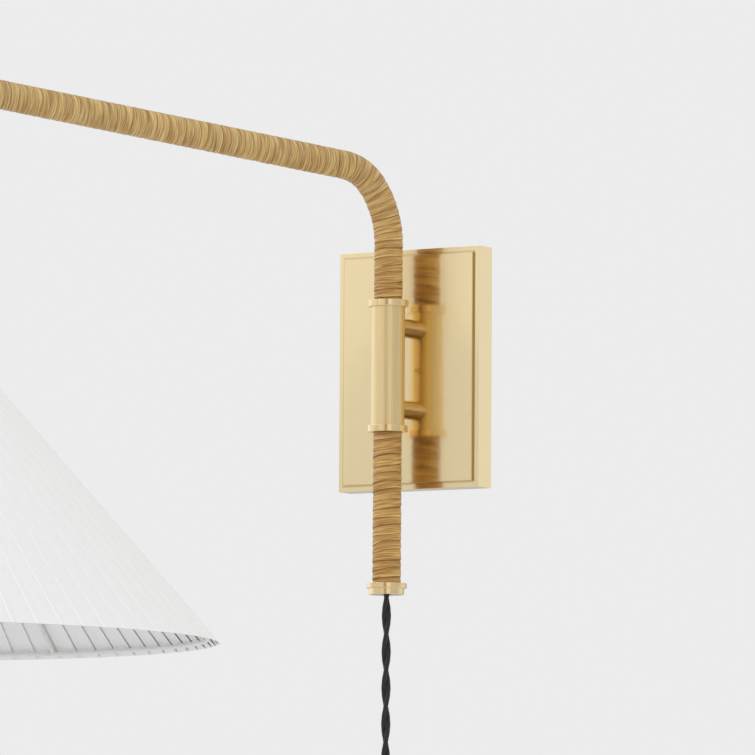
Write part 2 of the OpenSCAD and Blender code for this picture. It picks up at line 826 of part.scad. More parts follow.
module plug_body() {
    color("black") arm_side() translate([0, 0, plug_top_z]) {
        translate([0, 0, -relief_h]) cylinder(d1 = relief_bottom_d, d2 = relief_top_d, h = relief_h);
        translate([-plug_w / 2, -plug_depth / 2, -relief_h - plug_len]) cube([plug_w, plug_depth, plug_len]);
    }
}

module plug_blades() {
    color("silver") arm_side() translate([0, 0, plug_top_z - relief_h - plug_len - blade_len])
        for (side = [-1, 1]) translate([side * blade_pitch / 2 - blade_t / 2, -blade_w / 2, 0])
            cube([blade_t, blade_w, blade_len]);
}

mounting_bracket();
backplate_cover();
face_panel();
cover_screws();
stiffener_bar();
post_upper();
post_lower();
post_screws();
post_washers();
barrel();
collar_top();
collar_bottom();
bushing_upper();
bushing_lower();
friction_screw();
arm_tube();
thrust_ring();
retaining_ring();
cane_wrap_lower();
cane_wrap_arm();
end_cap();
cord_grommet();
inner_cord();
arm_ferrule();
holder_stem();
holder_cap();
holder_shell();
holder_core();
screw_shell();
centre_contact();
ring_nut();
shade_fitter();
shade_frame();
pleated_shade();
bulb_base();
bulb_glass();
switch_shaft();
switch_knob();
power_cord();
cord_hank();
cord_tail();
hank_tie();
plug_body();
plug_blades();
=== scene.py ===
import json
from math import ceil, cos, pi, radians, sin, tan, tau

import bmesh
import bpy
from mathutils import Matrix, Vector


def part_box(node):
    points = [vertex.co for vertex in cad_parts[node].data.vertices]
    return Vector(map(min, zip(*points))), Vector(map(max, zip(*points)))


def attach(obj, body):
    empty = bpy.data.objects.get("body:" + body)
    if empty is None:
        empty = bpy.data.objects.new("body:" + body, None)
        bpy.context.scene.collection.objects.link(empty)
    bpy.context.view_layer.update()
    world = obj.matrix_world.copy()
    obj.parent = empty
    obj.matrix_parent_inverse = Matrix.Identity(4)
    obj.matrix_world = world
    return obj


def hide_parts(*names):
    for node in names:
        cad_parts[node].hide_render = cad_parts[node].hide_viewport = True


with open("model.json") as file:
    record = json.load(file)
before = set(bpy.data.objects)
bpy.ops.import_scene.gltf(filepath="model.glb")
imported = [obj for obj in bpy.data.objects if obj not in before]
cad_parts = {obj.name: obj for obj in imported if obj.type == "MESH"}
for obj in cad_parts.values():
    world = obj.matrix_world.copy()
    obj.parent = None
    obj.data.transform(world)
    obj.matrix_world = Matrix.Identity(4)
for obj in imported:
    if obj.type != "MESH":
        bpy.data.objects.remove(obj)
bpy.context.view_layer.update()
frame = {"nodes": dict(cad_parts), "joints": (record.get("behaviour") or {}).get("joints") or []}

nodes = frame["nodes"]
pivot = Vector(next(j for j in frame["joints"] if j["name"] == "arm_swing")["pos_m"])

# ---- Camera and studio ----
# A long lens a little below the lamp and to its right. The room is a pale studio: a bright bank on the lamp's
# left, duller to its right and behind it, and a floor far below.
view_turn, view_rise, view_roll = radians(32.3), radians(-5.23), radians(0.32)
view_distance, far_clip = 5.0, 200.0
lens_mm, sensor_mm = 340.6, 36.0
aim_left, aim_below = 0.03094, 0.00427

to_camera = Vector((sin(view_turn) * cos(view_rise), -cos(view_turn) * cos(view_rise),
                    sin(view_rise)))
level_right = Vector((cos(view_turn), sin(view_turn), 0.0))
level_up = to_camera.cross(level_right)
right = level_right * cos(view_roll) + level_up * sin(view_roll)
up = level_up * cos(view_roll) - level_right * sin(view_roll)
seat = to_camera * view_distance
look = (seat + right * aim_left + up * aim_below).normalized()
across = up.cross(look).normalized()
scene = bpy.context.scene


def placed(name, data):
    """An object in the scene."""
    thing = bpy.data.objects.new(name, data)
    scene.collection.objects.link(thing)
    return thing


camera = placed("camera", bpy.data.cameras.new("camera"))
camera_turned = Matrix((across, look.cross(across), look)).transposed().to_4x4()
camera.matrix_world = Matrix.Translation(seat) @ camera_turned
camera.data.lens, camera.data.sensor_width, camera.data.clip_end = lens_mm, sensor_mm, far_clip
scene.camera = camera
scene.view_settings.view_transform = "Standard"


def operator(name, swapped=False):
    """A method that adds the Math node of an operator."""
    return lambda self, *others: self.maths(name, *others, swapped=swapped)


class Wire:
    """A socket that can stand in an expression."""

    def __init__(self, socket):
        self.socket = socket

    def node(self, kind, sockets, **settings):
        return Bench(self.socket.id_data).node(kind, sockets, **settings)

    def maths(self, operation, *others, swapped=False):
        values = (others + (self,)) if swapped else ((self,) + others)
        return self.node("ShaderNodeMath", dict(enumerate(values)), operation=operation)[0]

    __add__ = __radd__ = operator("ADD")
    __sub__, __rsub__ = operator("SUBTRACT"), operator("SUBTRACT", swapped=True)
    __mul__ = __rmul__ = operator("MULTIPLY")
    __truediv__, __mod__, __pow__ = operator("DIVIDE"), operator("FLOORED_MODULO"), operator("POWER")
    __abs__, floor, sin, cos = operator("ABSOLUTE"), operator("FLOOR"), operator("SINE"), operator("COSINE")

    def fit(self, low, high, to_low=0.0, to_high=1.0):
        """low..high becomes to_low..to_high along a smooth step."""
        return self.node("ShaderNodeMapRange", {
            "Value": self, "From Min": low, "From Max": high, "To Min": to_low, "To Max": to_high},
            interpolation_type="SMOOTHSTEP")["Result"]

    def above(self, edge, soft):
        """0 below the edge and 1 above it, with a soft step."""
        return self.fit(edge - soft, edge + soft)

    def vector(self, operation, other):
        """Vector maths with another vector, or with a number for SCALE."""
        return self.node("ShaderNodeVectorMath", {0: self, "Scale" if operation == "SCALE" else 1: other},
                         operation=operation)[0]


class Made:
    """A node whose outputs are picked by name, identifier or number."""

    def __init__(self, node):
        self.made = node

    def __getitem__(self, key):
        return Wire(pick(self.made.outputs, key))


def pick(sockets, key):
    if isinstance(key, int):
        return sockets[key]
    return next((s for s in sockets if s.identifier == key), None) or sockets[key]


def tone(colour):
    """Three numbers, or one for a grey."""
    return (colour,) * 3 if isinstance(colour, (int, float)) else tuple(colour)


class Bench:
    """Adds nodes to one tree."""

    def __init__(self, tree):
        self.tree = tree

    def node(self, kind, sockets=None, **settings):
        """A node of a kind, with its settings and then the values or links of its sockets."""
        made = self.tree.nodes.new(kind)
        for name, value in settings.items():
            if name == "stops":
                while len(made.color_ramp.elements) < len(value):
                    made.color_ramp.elements.new(0.5)
                for element, (place, colour) in zip(made.color_ramp.elements, value):
                    element.position, element.color = place, tone(colour) + (1.0,)
            else:
                setattr(made, name, value)
        for key, value in (sockets or {}).items():
            self.put(pick(made.inputs, key), value)
        return Made(made)

    def put(self, socket, value):
        if isinstance(value, Wire):
            self.tree.links.new(value.socket, socket)
        elif socket.type == "RGBA":
            socket.default_value = tone(value) + (1.0,)
        else:
            socket.default_value = value

    def blend(self, factor, first, second):
        """A colour between two colours."""
        return self.node("ShaderNodeMix", {"Factor_Float": factor, "A_Color": first, "B_Color": second},
                         data_type="RGBA")["Result_Color"]

    def split(self, vector):
        """A vector's X, Y and Z."""
        return self.node("ShaderNodeSeparateXYZ", {"Vector": vector})

    def joined(self, x=0.0, y=0.0, z=0.0):
        """A vector of three numbers."""
        return self.node("ShaderNodeCombineXYZ", {"X": x, "Y": y, "Z": z})["Vector"]


# The bank's brightness by the turn from the wall's front, in degrees. A ramp's colours end at 1, so they
# are divided by its brightest value.
backdrop, top_glow, ground_glow, brightest, horizon = 0.838, 1.16, 0.86, 1.5, 0.9
bright, brown = (1.1, 1.17, 1.3), (0.5, 0.42, 0.32)
bank_by_turn = [
    (-180, 0.5), (-160, 0.35), (-136, 0.4), (-124, 0.9), (-112, bright), (-92, bright), (-72, 0.96),
    (-45, 0.88), (-22, 0.92), (2, 0.8), (14, 0.74), (17, brown), (29, brown), (35, 0.92), (50, 0.92),
    (58, 0.68), (84, 0.64), (104, 0.6), (124, 0.8), (148, 0.87), (164, 0.78), (180, 0.5)]
soft_low, soft_high, soft_side, soft_turn = 0.80, 0.98, -0.05, 0.6
world = bpy.data.worlds.new("studio")
scene.world = world
world.use_nodes = True
world.node_tree.nodes.clear()
sky = Bench(world.node_tree)
where = sky.split(sky.node("ShaderNodeTexCoord")["Generated"])
turn = where["X"].maths("ARCTAN2", where["Y"] * -1) / tau + 0.5
stops = [(a / 360 + 0.5, tuple(c / brightest for c in tone(value))) for a, value in bank_by_turn]
bank = sky.node("ShaderNodeValToRGB", {"Fac": turn}, stops=stops)["Color"]
rise = where["Z"].fit(-horizon, horizon, ground_glow, top_glow)
soft_rise = where["Z"].fit(-horizon, horizon, soft_low, soft_high)
soft_strength = (turn * tau + soft_turn).cos() * soft_side + soft_rise
glow, flat, soft = (
    sky.node("ShaderNodeBackground", {"Color": colour, "Strength": strength})["Background"]
    for colour, strength in ((bank, rise * brightest), (backdrop, 1.0), (1.0, soft_strength)))
rays = sky.node("ShaderNodeLightPath")
lit = sky.node("ShaderNodeMixShader", {0: rays["Is Diffuse Ray"], 1: glow, 2: soft})[0]
sky.node("ShaderNodeOutputWorld", {"Surface": sky.node(
    "ShaderNodeMixShader", {0: rays["Is Camera Ray"], 1: lit, 2: flat})[0]})

key_place, key_aim, key_size, key_watts = Vector((-2.2, -2.6, 2.2)), Vector((-0.1, -0.2, 0.0)), 2.6, 14.0
key_light = placed("key_light", bpy.data.lights.new("key_light", "AREA"))
key_light.data.shape, key_light.data.size, key_light.data.energy = "DISK", key_size, key_watts
key_turned = (key_place - key_aim).to_track_quat("Z", "Y").to_matrix().to_4x4()
key_light.matrix_world = Matrix.Translation(key_place) @ key_turned


# ---- Free cord ----
# Two cores in woven black sleeves, twisted together, 2.4 m long. The cord hangs from the arm's lower end;
# the length that isn't needed is folded into a hank with a strap round its waist, and a plug hangs below it.
cord_d, core_r, cord_lay, first_turn, cord_step = 0.0065, 0.00165, 0.050, radians(36), 0.0022
exit_z, hank_top, hank_run = -0.159, -0.306, 0.098
fold_r, waist = 0.01975, 0.5 * cord_d
lamp_low, lamp_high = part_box("bulb_glass")
reach = (lamp_low + lamp_high) / 2 - pivot
reach.z = 0.0
out_way = reach.normalized()
side_way = Vector((-out_way.y, out_way.x, 0.0))
lamp = pivot + reach


def arm_point(side, back, height):
    """A point in the arm's own frame: to its side, back towards the wall, and up."""
    return Vector((pivot.x, pivot.y, 0.0)) + side_way * side - out_way * back + Vector((0, 0, height))


def smooth(t):
    t = min(max(t, 0.0), 1.0)
    return t * t * (3 - 2 * t)


def hank_pass(side, rings, layers, first=None, steps=14, fold_steps=16, span=1.0):
    """One run of the hank and the fold after it, from its ring and layer to the next run's.

    Ring 0 lies inside ring 1, and the strap draws all the runs in at the middle.
    """
    end_r, mid_r = fold_r + rings[0] * cord_d, waist + rings[0] * cord_d
    first = -side if first is None else first
    for i in range(steps + 1):
        t = first + (side - first) * i / steps
        x = side * (mid_r + (end_r - mid_r) * sin(abs(t) * pi / 2) ** 2)
        yield arm_point(x, (layers[0] + 0.5) * cord_d, hank_top - hank_run / 2 * (1 - t))
    centre = hank_top if side > 0 else hank_top - hank_run
    for i in range(1, round(fold_steps * span)):
        t = i / fold_steps
        r = fold_r + cord_d * (rings[0] + (rings[1] - rings[0]) * smooth(2.4 * t - 1.4))
        layer = layers[0] + (layers[1] - layers[0]) * smooth(1.7 * t - 0.5)
        yield arm_point(side * r * cos(pi * t), (layer + 0.5) * cord_d,
                        centre + side * r * sin(pi * t))


# Straight down from the cap into the hank, round its inner ring from front to back, round its outer ring
# to the front again, and out at the bottom.
cord_points = [arm_point(0, 0, exit_z + 0.003 - 0.0125 * i) for i in range(11)]
cord_points += [arm_point(*p) for p in [
    (-0.0004, 0.0006, -0.299), (-0.0012, 0.0016, -0.317), (-0.0024, 0.0027, -0.337)]]
cord_points += hank_pass(-1, (0, 0), (0, 1), first=0, steps=8)
for layer in (1, 2):
    cord_points += hank_pass(1, (0, 0), (layer, layer))
    cord_points += hank_pass(-1, (0, 0), (layer, layer + 1))
cord_points += hank_pass(1, (0, 1), (3, 3))
for layer in (3, 2, 1):
    cord_points += hank_pass(-1, (1, 1), (layer, layer))
    cord_points += hank_pass(1, (1, 1), (layer, layer - 1))
cord_points += hank_pass(-1, (1, 1), (0, 0), span=0.25)
cord_points += [arm_point(*p) for p in [
    (-0.0185, 0.00325, -0.423), (-0.014, 0.00325, -0.428), (-0.0095, 0.003, -0.433),
    (-0.0055, 0.0025, -0.4385), (-0.0025, 0.0015, -0.4445), (-0.0006, 0.0006, -0.451),
    (0, 0, -0.4575), (0, 0, -0.464), (0, 0, -0.468)]]


def even_line(points, step):
    """Points an even step apart on the smooth curve through some others."""
    fine = []
    for i in range(len(points) - 1):
        a, b, c, d = (points[min(max(j, 0), len(points) - 1)] for j in (i - 1, i, i + 1, i + 2))
        for t in (0.0, 0.2, 0.4, 0.6, 0.8):
            fine.append(b + (c - a) * (t / 2) + (a * 2 - b * 5 + c * 4 - d) * (t * t / 2)
                        + (b * 3 - a - c * 3 + d) * (t ** 3 / 2))
    fine.append(points[-1])
    lengths = [0.0]
    for a, b in zip(fine, fine[1:]):
        lengths.append(lengths[-1] + (b - a).length)
    count = round(lengths[-1] / step)
    line, j = [], 0
    for i in range(count + 1):
        at = lengths[-1] * i / count
        while j < len(fine) - 2 and lengths[j + 1] < at:
            j += 1
        line.append(fine[j].lerp(fine[j + 1], (at - lengths[j]) / (lengths[j + 1] - lengths[j])))
    return line


def untwisted(line, start):
    """A cross direction for each point of a line that turns with it and no more."""
    way, cross = (line[1] - line[0]).normalized(), start
    for i, point in enumerate(line):
        new = (line[min(i + 1, len(line) - 1)] - line[max(i - 1, 0)]).normalized()
        cross = way.rotation_difference(new) @ cross
        cross = (cross - new * cross.dot(new)).normalized()
        way = new
        yield point, new, cross


def new_piece(name, verts, faces, smooth_angle=35.0, uvs=None):
    mesh = bpy.data.meshes.new(name)
    mesh.from_pydata(verts, [], faces)
    if uvs:
        layer = mesh.uv_layers.new(name="UVMap")
        layer.data.foreach_set("uv", [c for face in uvs for corner in face for c in corner])
    mesh.shade_smooth()
    mesh.set_sharp_from_angle(angle=radians(smooth_angle))
    return placed(name, mesh)


# Two round cores wind about the line, side by side, and start where they leave the cap.
cord_line = even_line(cord_points, cord_step)
start_way = Matrix.Rotation(first_turn, 3, "Z") @ Vector((to_camera.x, to_camera.y, 0)).normalized()
verts, faces, uvs = [], [], []
step, sides = (cord_line[1] - cord_line[0]).length, 8
for turned in (0.0, pi):
    base = len(verts)
    for i, (point, way, cross) in enumerate(untwisted(cord_line, start_way)):
        away = Matrix.Rotation(turned + tau * i * step / cord_lay, 3, way) @ cross
        for k in range(sides):
            round_about = Matrix.Rotation(tau * k / sides, 3, way) @ away
            verts.append(point + away * (cord_d / 2 - core_r) + round_about * core_r)
    for i in range(len(cord_line) - 1):
        low, high = i * step / (tau * core_r), (i + 1) * step / (tau * core_r)
        for k in range(sides):
            a, b = base + i * sides + k, base + i * sides + (k + 1) % sides
            faces.append((a, b, b + sides, a + sides))
            uvs.append(((k / sides, low), ((k + 1) / sides, low), ((k + 1) / sides, high), (k / sides, high)))
    for end, order in ((0, -1), (len(cord_line) - 1, 1)):
        faces.append(tuple(base + end * sides + k for k in range(sides))[::order])
        uvs.append(((0.0, 0.0),) * sides)
power_cord = new_piece("twisted_cord", verts, faces, uvs=uvs)


class Finish(Bench):
    """A material: its shader, each point's place on the object, and what changes from point to point."""

    def __init__(self, name, base, roughness, metallic=0.0, **more):
        self.material = bpy.data.materials.new(name)
        self.material.use_nodes = True
        self.material.node_tree.nodes.clear()
        super().__init__(self.material.node_tree)
        sockets = {"Base Color": base, "Roughness": roughness, "Metallic": metallic}
        for key, value in more.items():
            sockets[key.replace("_", " ").title().replace("Ior", "IOR")] = value
        shader = self.node("ShaderNodeBsdfPrincipled", sockets)
        self.node("ShaderNodeOutputMaterial", {"Surface": shader["BSDF"]})
        self.shader = shader.made.inputs
        self.place = self.node("ShaderNodeTexCoord")["Object"]

    def spots(self, scale, detail, contrast=1.0, over=None):
        """Noise about one half, over the object or another vector."""
        noise = self.node("ShaderNodeTexNoise", {
            "Vector": over or self.place, "Scale": scale, "Detail": detail})["Fac"]
        return (noise - 0.5) * contrast + 0.5

    def grain(self, x, y, z, detail, contrast):
        """Noise that is drawn out along the axes with the smaller scales."""
        return self.spots(1.0, detail, contrast, self.place.vector("MULTIPLY", (x, y, z)))

    def uv(self):
        """The piece's own map."""
        return self.split(self.node("ShaderNodeUVMap", uv_map="UVMap")["UV"])

    def colour(self, factor, first, second):
        """The finish's own colour, between two colours."""
        mixed = self.blend(factor, first, second)
        self.put(self.shader["Base Color"], mixed)
        return mixed

    def roughness(self, value):
        self.put(self.shader["Roughness"], value)

    def bump(self, height, strength, depth):
        """Relief from a height."""
        self.put(self.shader["Normal"], self.node("ShaderNodeBump", {
            "Strength": strength, "Distance": depth, "Height": height})["Normal"])


# The woven sleeve: black yarns that cross each other round the core, with a faint dusty sheen.
sleeve = Finish("black_sleeve", (0.020, 0.018, 0.021), 0.82, sheen_weight=0.25, sheen_roughness=0.5,
                specular_ior_level=0.3)
uv = sleeve.uv()
yarns = tau * 6
weave = (uv["X"] * yarns + uv["Y"] * yarns).sin() * (uv["X"] * yarns - uv["Y"] * yarns).sin() * 0.5 + 0.5
dust = sleeve.spots(900.0, 2.0, 1.6)
sleeve.colour(weave * 0.6 + dust * 0.4, (0.009, 0.008, 0.010), (0.036, 0.033, 0.037))
sleeve.bump(weave * 0.8 + dust * 0.2, 0.6, 0.00025)
power_cord.data.materials.append(sleeve.material)
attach(power_cord, "arm")


# ---- Strap and plug ----
# A black woven strap, wrapped once round the hank and closed on itself, and a moulded two-blade plug with a
# ringed strain relief, ribbed grips on its two narrow sides and plated brass blades.
strap_z, strap_h, strap_t = hank_top - hank_run / 2, 0.010, 0.0011
strap_x, strap_y, strap_square, strap_start = 0.01395, 0.01335, 7, -1.9
turns_round, lap_steps, lap_lead, lap_ramp, lap_lift = 60, 10, 4, 6, 0.75
strap_end, strap_solid, strap_soft = 0.45, 0.7, 0.0002
plug_top, plug_w, plug_depth, plug_len, relief_h = -0.464, 0.024, 0.015, 0.030, 0.014
rings, ring_pitch, ring_cut, ribs, rib_pitch = 6, 0.0022, 0.0007, 6, 0.0023
blade_pitch, blade_w, blade_t, blade_len = 0.0127, 0.0063, 0.0015, 0.016
blade_hole, blade_hole_up, blade_corner, blade_sunk = 0.0016, 0.0042, 0.36, 0.0006


def square_round(angle, power):
    """A direction's x and y, scaled to reach a rounded box; a higher power makes it squarer."""
    c, s = cos(angle), sin(angle)
    r = (abs(c) ** power + abs(s) ** power) ** (-1 / power)
    return c * r, s * r


def outward(mesh, merge=0.0, axis=None):
    """Doubles merged and faces turned outwards; an open skin is turned away from its upright axis."""
    shape = bmesh.new()
    shape.from_mesh(mesh)
    if merge:
        bmesh.ops.remove_doubles(shape, verts=shape.verts, dist=merge)
    bmesh.ops.recalc_face_normals(shape, faces=shape.faces)
    if axis:
        outer = max(shape.faces, key=lambda f: (f.calc_center_median().xy - axis).length)
        if outer.normal.xy.dot(outer.calc_center_median().xy - axis) < 0:
            bmesh.ops.reverse_faces(shape, faces=shape.faces)
    shape.to_mesh(mesh)
    shape.free()


def closed_rows(name, rows, smooth_angle):
    """A skin over rows of points that each run round, with the first and last rows capped."""
    count = len(rows[0])
    verts = [p for row in rows for p in row]
    faces = []
    for i in range(len(rows) - 1):
        for k in range(count):
            a, b = i * count + k, i * count + (k + 1) % count
            faces.append((a, b, b + count, a + count))
    faces += [tuple(range(count))[::-1], tuple(range(len(verts) - count, len(verts)))]
    piece = new_piece(name, verts, faces, smooth_angle)
    outward(piece.data, 1e-7)
    piece.data.set_sharp_from_angle(angle=radians(smooth_angle))
    return piece


strap_rows = []
for i in range(turns_round + lap_steps + 1):
    x, y = square_round(tau * i / turns_round + strap_start, strap_square)
    over = smooth((i - turns_round + lap_lead) / lap_ramp) * (strap_t * lap_lift)
    thin = strap_t * (strap_end if i in (0, turns_round + lap_steps) else strap_solid)
    outline = []
    for half, out in ((-1, 0), (-1, 1), (1, 1), (1, 0)):
        inset = strap_soft if out else 0.0
        d = (over + thin * out) if i >= turns_round - lap_lead else thin * out
        outline.append(arm_point((strap_x + d) * x, 2 * cord_d + (strap_y + d) * y,
                                 strap_z + half * (strap_h / 2 - inset)))
    strap_rows.append(outline)
strap = closed_rows("hank_strap", strap_rows, 40.0)
webbing = Finish("woven_strap", (0.018, 0.018, 0.019), 0.75, sheen_weight=0.2, sheen_roughness=0.4)
spot = webbing.split(webbing.place)
row_h, yarn_w = 0.0011, 0.0014
rows_up = (spot["Z"] * (tau / row_h)).sin()
cross = ((spot["X"] + spot["Y"]) * (tau / yarn_w)).sin()
basket = rows_up * cross * 0.5 + 0.5
lint = webbing.spots(700.0, 3.0, 1.6)
webbing.colour(basket * 0.5 + lint * 0.5, (0.008, 0.008, 0.009), (0.040, 0.039, 0.041))
webbing.roughness(lint * 0.2 + 0.6)
webbing.bump(basket * 0.7 + lint * 0.3, 0.6, 0.0003)
strap.data.materials.append(webbing.material)
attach(strap, "arm")
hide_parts("hank_tie")

# From the top down: height, half width, half depth, squareness.
plug_body = [(0.0, 0.0037, 0.0037, 2.0)]
for i in range(rings):
    z, r = -0.0008 - ring_pitch * i, 0.0041 + 0.00031 * i
    plug_body += [(z - down, r - cut, r - cut, 2.0) for down, cut in (
        (0.0, ring_cut), (0.0004, 0.0), (0.0012, 0.0), (0.0016, ring_cut))]
body_top, half_w, half_d = -relief_h, plug_w / 2, plug_depth / 2
plug_body += [(body_top, 0.0060, 0.0052, 2.2), (body_top - 0.0022, 0.0078, 0.0060, 2.6),
              (body_top - 0.0052, 0.0098, 0.0068, 3.2), (body_top - 0.0085, 0.0108, 0.0072, 4.0)]
for i in range(ribs):
    z = body_top - 0.0100 - rib_pitch * i
    plug_body += [(z - down, wide, 0.0072, 4.5) for down, wide in (
        (0.0, 0.0108), (0.0005, 0.0100), (0.0013, 0.0100), (0.0018, 0.0108))]
foot = body_top - plug_len
plug_body += [(foot + 0.0052, 0.0112, 0.0073, 5.0), (foot + 0.0042, half_w, half_d, 5.0),
              (foot + 0.0008, half_w, half_d, 5.0), (foot + 0.0002, half_w - 0.0003, half_d - 0.0003, 5.0),
              (foot, half_w - 0.0009, half_d - 0.0009, 5.0)]
plug_rows = []
for z, half_x, half_y, power in plug_body:
    corners = (square_round(tau * k / 48, power) for k in range(48))
    plug_rows.append([arm_point(half_x * x, half_y * y, plug_top + z) for x, y in corners])
plug = closed_rows("plug_moulding", plug_rows, 50.0)
moulded = Finish("black_moulding", 0.018, 0.42, specular_ior_level=0.5)
spark = moulded.spots(2600.0, 2.0, 1.6)
haze = moulded.spots(60.0, 3.0, 1.4)
moulded.colour(haze, 0.013, (0.024, 0.024, 0.023))
moulded.roughness(haze * 0.16 + spark * 0.12 + 0.30)
moulded.bump(spark, 0.35, 0.00008)
plug.data.materials.append(moulded.material)
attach(plug, "arm")
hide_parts("plug_body")

# Each blade is a ring of faces between its round hole and its edge, on both sides.
blade_verts, blade_faces, n = [], [], 32
low = plug_top - relief_h - plug_len - blade_len
high, hole_z = low + blade_len + blade_sunk, low + blade_hole_up
for side in (-1, 1):
    base = len(blade_verts)
    for face in (-1, 1):
        for rim in ("hole", "edge"):
            for k in range(n):
                c, s = cos(tau * (k + 0.5) / n), sin(tau * (k + 0.5) / n)
                if rim == "hole":
                    y, z = blade_hole * c, hole_z + blade_hole * s
                else:
                    reach_y = (blade_w / 2) / max(abs(c), 1e-6)
                    reach_z = ((high - hole_z) if s > 0 else (hole_z - low)) / max(abs(s), 1e-6)
                    far = min(reach_y, reach_z)
                    y, z = far * c, hole_z + far * s
                    if s < 0 and abs(y) > blade_w * blade_corner:
                        z = max(z, low + (abs(y) - blade_w * blade_corner) * 1.1)
                blade_verts.append(arm_point(side * blade_pitch / 2 + face * blade_t / 2, y, z))
    for k in range(n):
        a, b = base + k, base + (k + 1) % n
        blade_faces += [(a, b, b + n, a + n), (a + 2 * n, a + 3 * n, b + 3 * n, b + 2 * n),
                        (a, a + 2 * n, b + 2 * n, b), (a + n, b + n, b + 3 * n, a + 3 * n)]
blades = new_piece("plug_contact_blades", blade_verts, blade_faces, 30.0)
outward(blades.data)
plated = Finish("nickel_plate", (0.66, 0.63, 0.58), 0.25, 1.0)
rub = plated.grain(900.0, 900.0, 120.0, 4.0, 1.8)
haze = plated.spots(70.0, 3.0, 1.5)
plated.colour(haze, (0.60, 0.57, 0.52), (0.72, 0.70, 0.66))
plated.roughness(rub * 0.16 + haze * 0.08 + 0.16)
plated.bump(rub, 0.15, 0.00005)
blades.data.materials.append(plated.material)
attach(blades, "arm")
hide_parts("plug_blades")
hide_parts("power_cord", "cord_hank", "cord_tail")
arm_point(0, 0, exit_z)


# ---- Wall plate ----
# A brass cover drawn as an open-backed box, with a second plate laid on its face. Both are polished and
# lacquered, with softly broken edges. Two grub screws fix the cover over its bracket.
plate_edge, panel_edge = 0.0006, 0.00025
line_inside, line_outside, line_fade = 0.0003, 0.0008, 0.0005
flat_angle, crease_angle, bevel_steps = radians(0.6), radians(32.0), 3


def softened(finish, body, slot, *pieces, sides_at=20.0):
    """Solids with broken edges in their nodes' places; each piece is a node, a name and its edge."""
    for node, name, edge in pieces:
        shape = bmesh.new()
        shape.from_mesh(nodes[node].data)
        bmesh.ops.remove_doubles(shape, verts=shape.verts, dist=1e-6)
        bmesh.ops.dissolve_limit(shape, angle_limit=flat_angle, verts=shape.verts, edges=shape.edges)
        if edge:
            hard = [e for e in shape.edges
                    if e.is_manifold and e.calc_face_angle(0.0) > radians(sides_at)]
            bmesh.ops.bevel(shape, geom=hard, offset=edge, segments=bevel_steps, profile=0.5,
                            affect="EDGES", clamp_overlap=True)
        mesh = bpy.data.meshes.new(name)
        shape.to_mesh(mesh)
        shape.free()
        mesh.shade_smooth()
        mesh.set_sharp_from_angle(angle=crease_angle)
        mesh.materials.append(finish.material)
        piece = placed(name, mesh)
        piece.modifiers.new("facing", "WEIGHTED_NORMAL").keep_sharp = True
        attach(piece, body)
        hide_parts(node)


def brass(name, dark, light, roughness, waves):
    """Lacquered brass: a slow change of tone, a fine change of gloss and a faint waviness."""
    finish = Finish(name, light, roughness, 1.0)
    cloud = finish.spots(14.0, 3.0, 1.4)
    fine = finish.spots(260.0, 4.0, 1.8)
    finish.tone = finish.colour(cloud, dark, light)
    finish.roughness(cloud * 0.03 + fine * 0.03 + (roughness - 0.03))
    finish.bump(finish.spots(22.0, 2.0), waves, 0.0012)
    return finish


# A narrow brown line is painted round the foot of the panel: painted shade at the step between panel and
# cover.
polished = brass("polished_brass", (0.86, 0.705, 0.415), (0.90, 0.755, 0.47), 0.16, 0.08)
spot = polished.split(polished.place)
low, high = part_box("face_panel")
aside = abs(spot["X"] - (low[0] + high[0]) / 2) - (high[0] - low[0]) / 2
above = abs(spot["Z"] - (low[2] + high[2]) / 2) - (high[2] - low[2]) / 2
past = aside.maths("MAXIMUM", above)
painted_edge_shade = past.fit(-line_outside, -line_inside) * (1 - past.fit(line_outside, line_outside + line_fade))
polished.colour(painted_edge_shade * 0.5, polished.tone, (0.50, 0.34, 0.13))
softened(polished, "wall_mount", "polished_brass",
         ("backplate_cover", "wall_cover", plate_edge), ("face_panel", "front_panel", panel_edge))


# ---- Bracket and fixings ----
# A zinc-plated steel bracket with two tapped tabs is screwed to the wall box, and a steel stiffener lies
# behind the cover. The posts' screws and washers pull through both. The screws are blackened steel.
zinc = Finish("zinc_plated_steel", (0.56, 0.56, 0.55), 0.38, 1.0)
spangle = zinc.node("ShaderNodeTexVoronoi", {
    "Vector": zinc.place, "Scale": 170.0, "Randomness": 1.0})["Color"]
flake = zinc.split(spangle)["X"]
rolled = zinc.grain(700.0, 700.0, 45.0, 4.0, 1.8)
stain = zinc.spots(26.0, 4.0, 1.8)
zinc.colour(stain * 0.6 + flake * 0.4, (0.44, 0.44, 0.43), (0.66, 0.66, 0.65))
zinc.roughness(rolled * 0.18 + flake * 0.12 + 0.24)
zinc.bump(rolled, 0.2, 0.00008)
softened(zinc, "wall_mount", "zinc_steel", ("mounting_bracket", "wall_bracket", 0.0004),
         ("stiffener_bar", "post_stiffener", 0.0004), ("post_washers", "fixing_washers", 0.00015))

blackened = Finish("blackened_steel", (0.055, 0.053, 0.050), 0.4, 1.0)
oil = blackened.spots(420.0, 4.0, 1.8)
rubbed = blackened.spots(1500.0, 2.0, 1.6).above(0.68, 0.12)
oiled = blackened.blend(oil, (0.035, 0.034, 0.032), (0.075, 0.071, 0.066))
blackened.colour(rubbed * 0.7, oiled, (0.30, 0.29, 0.27))
blackened.roughness(oil * 0.22 + 0.28)
blackened.bump(oil, 0.2, 0.00006)
softened(blackened, "wall_mount", "zinc_steel",
         ("post_screws", "fixing_screws", 0.0002), ("cover_screws", "grub_screws", 0.00015))
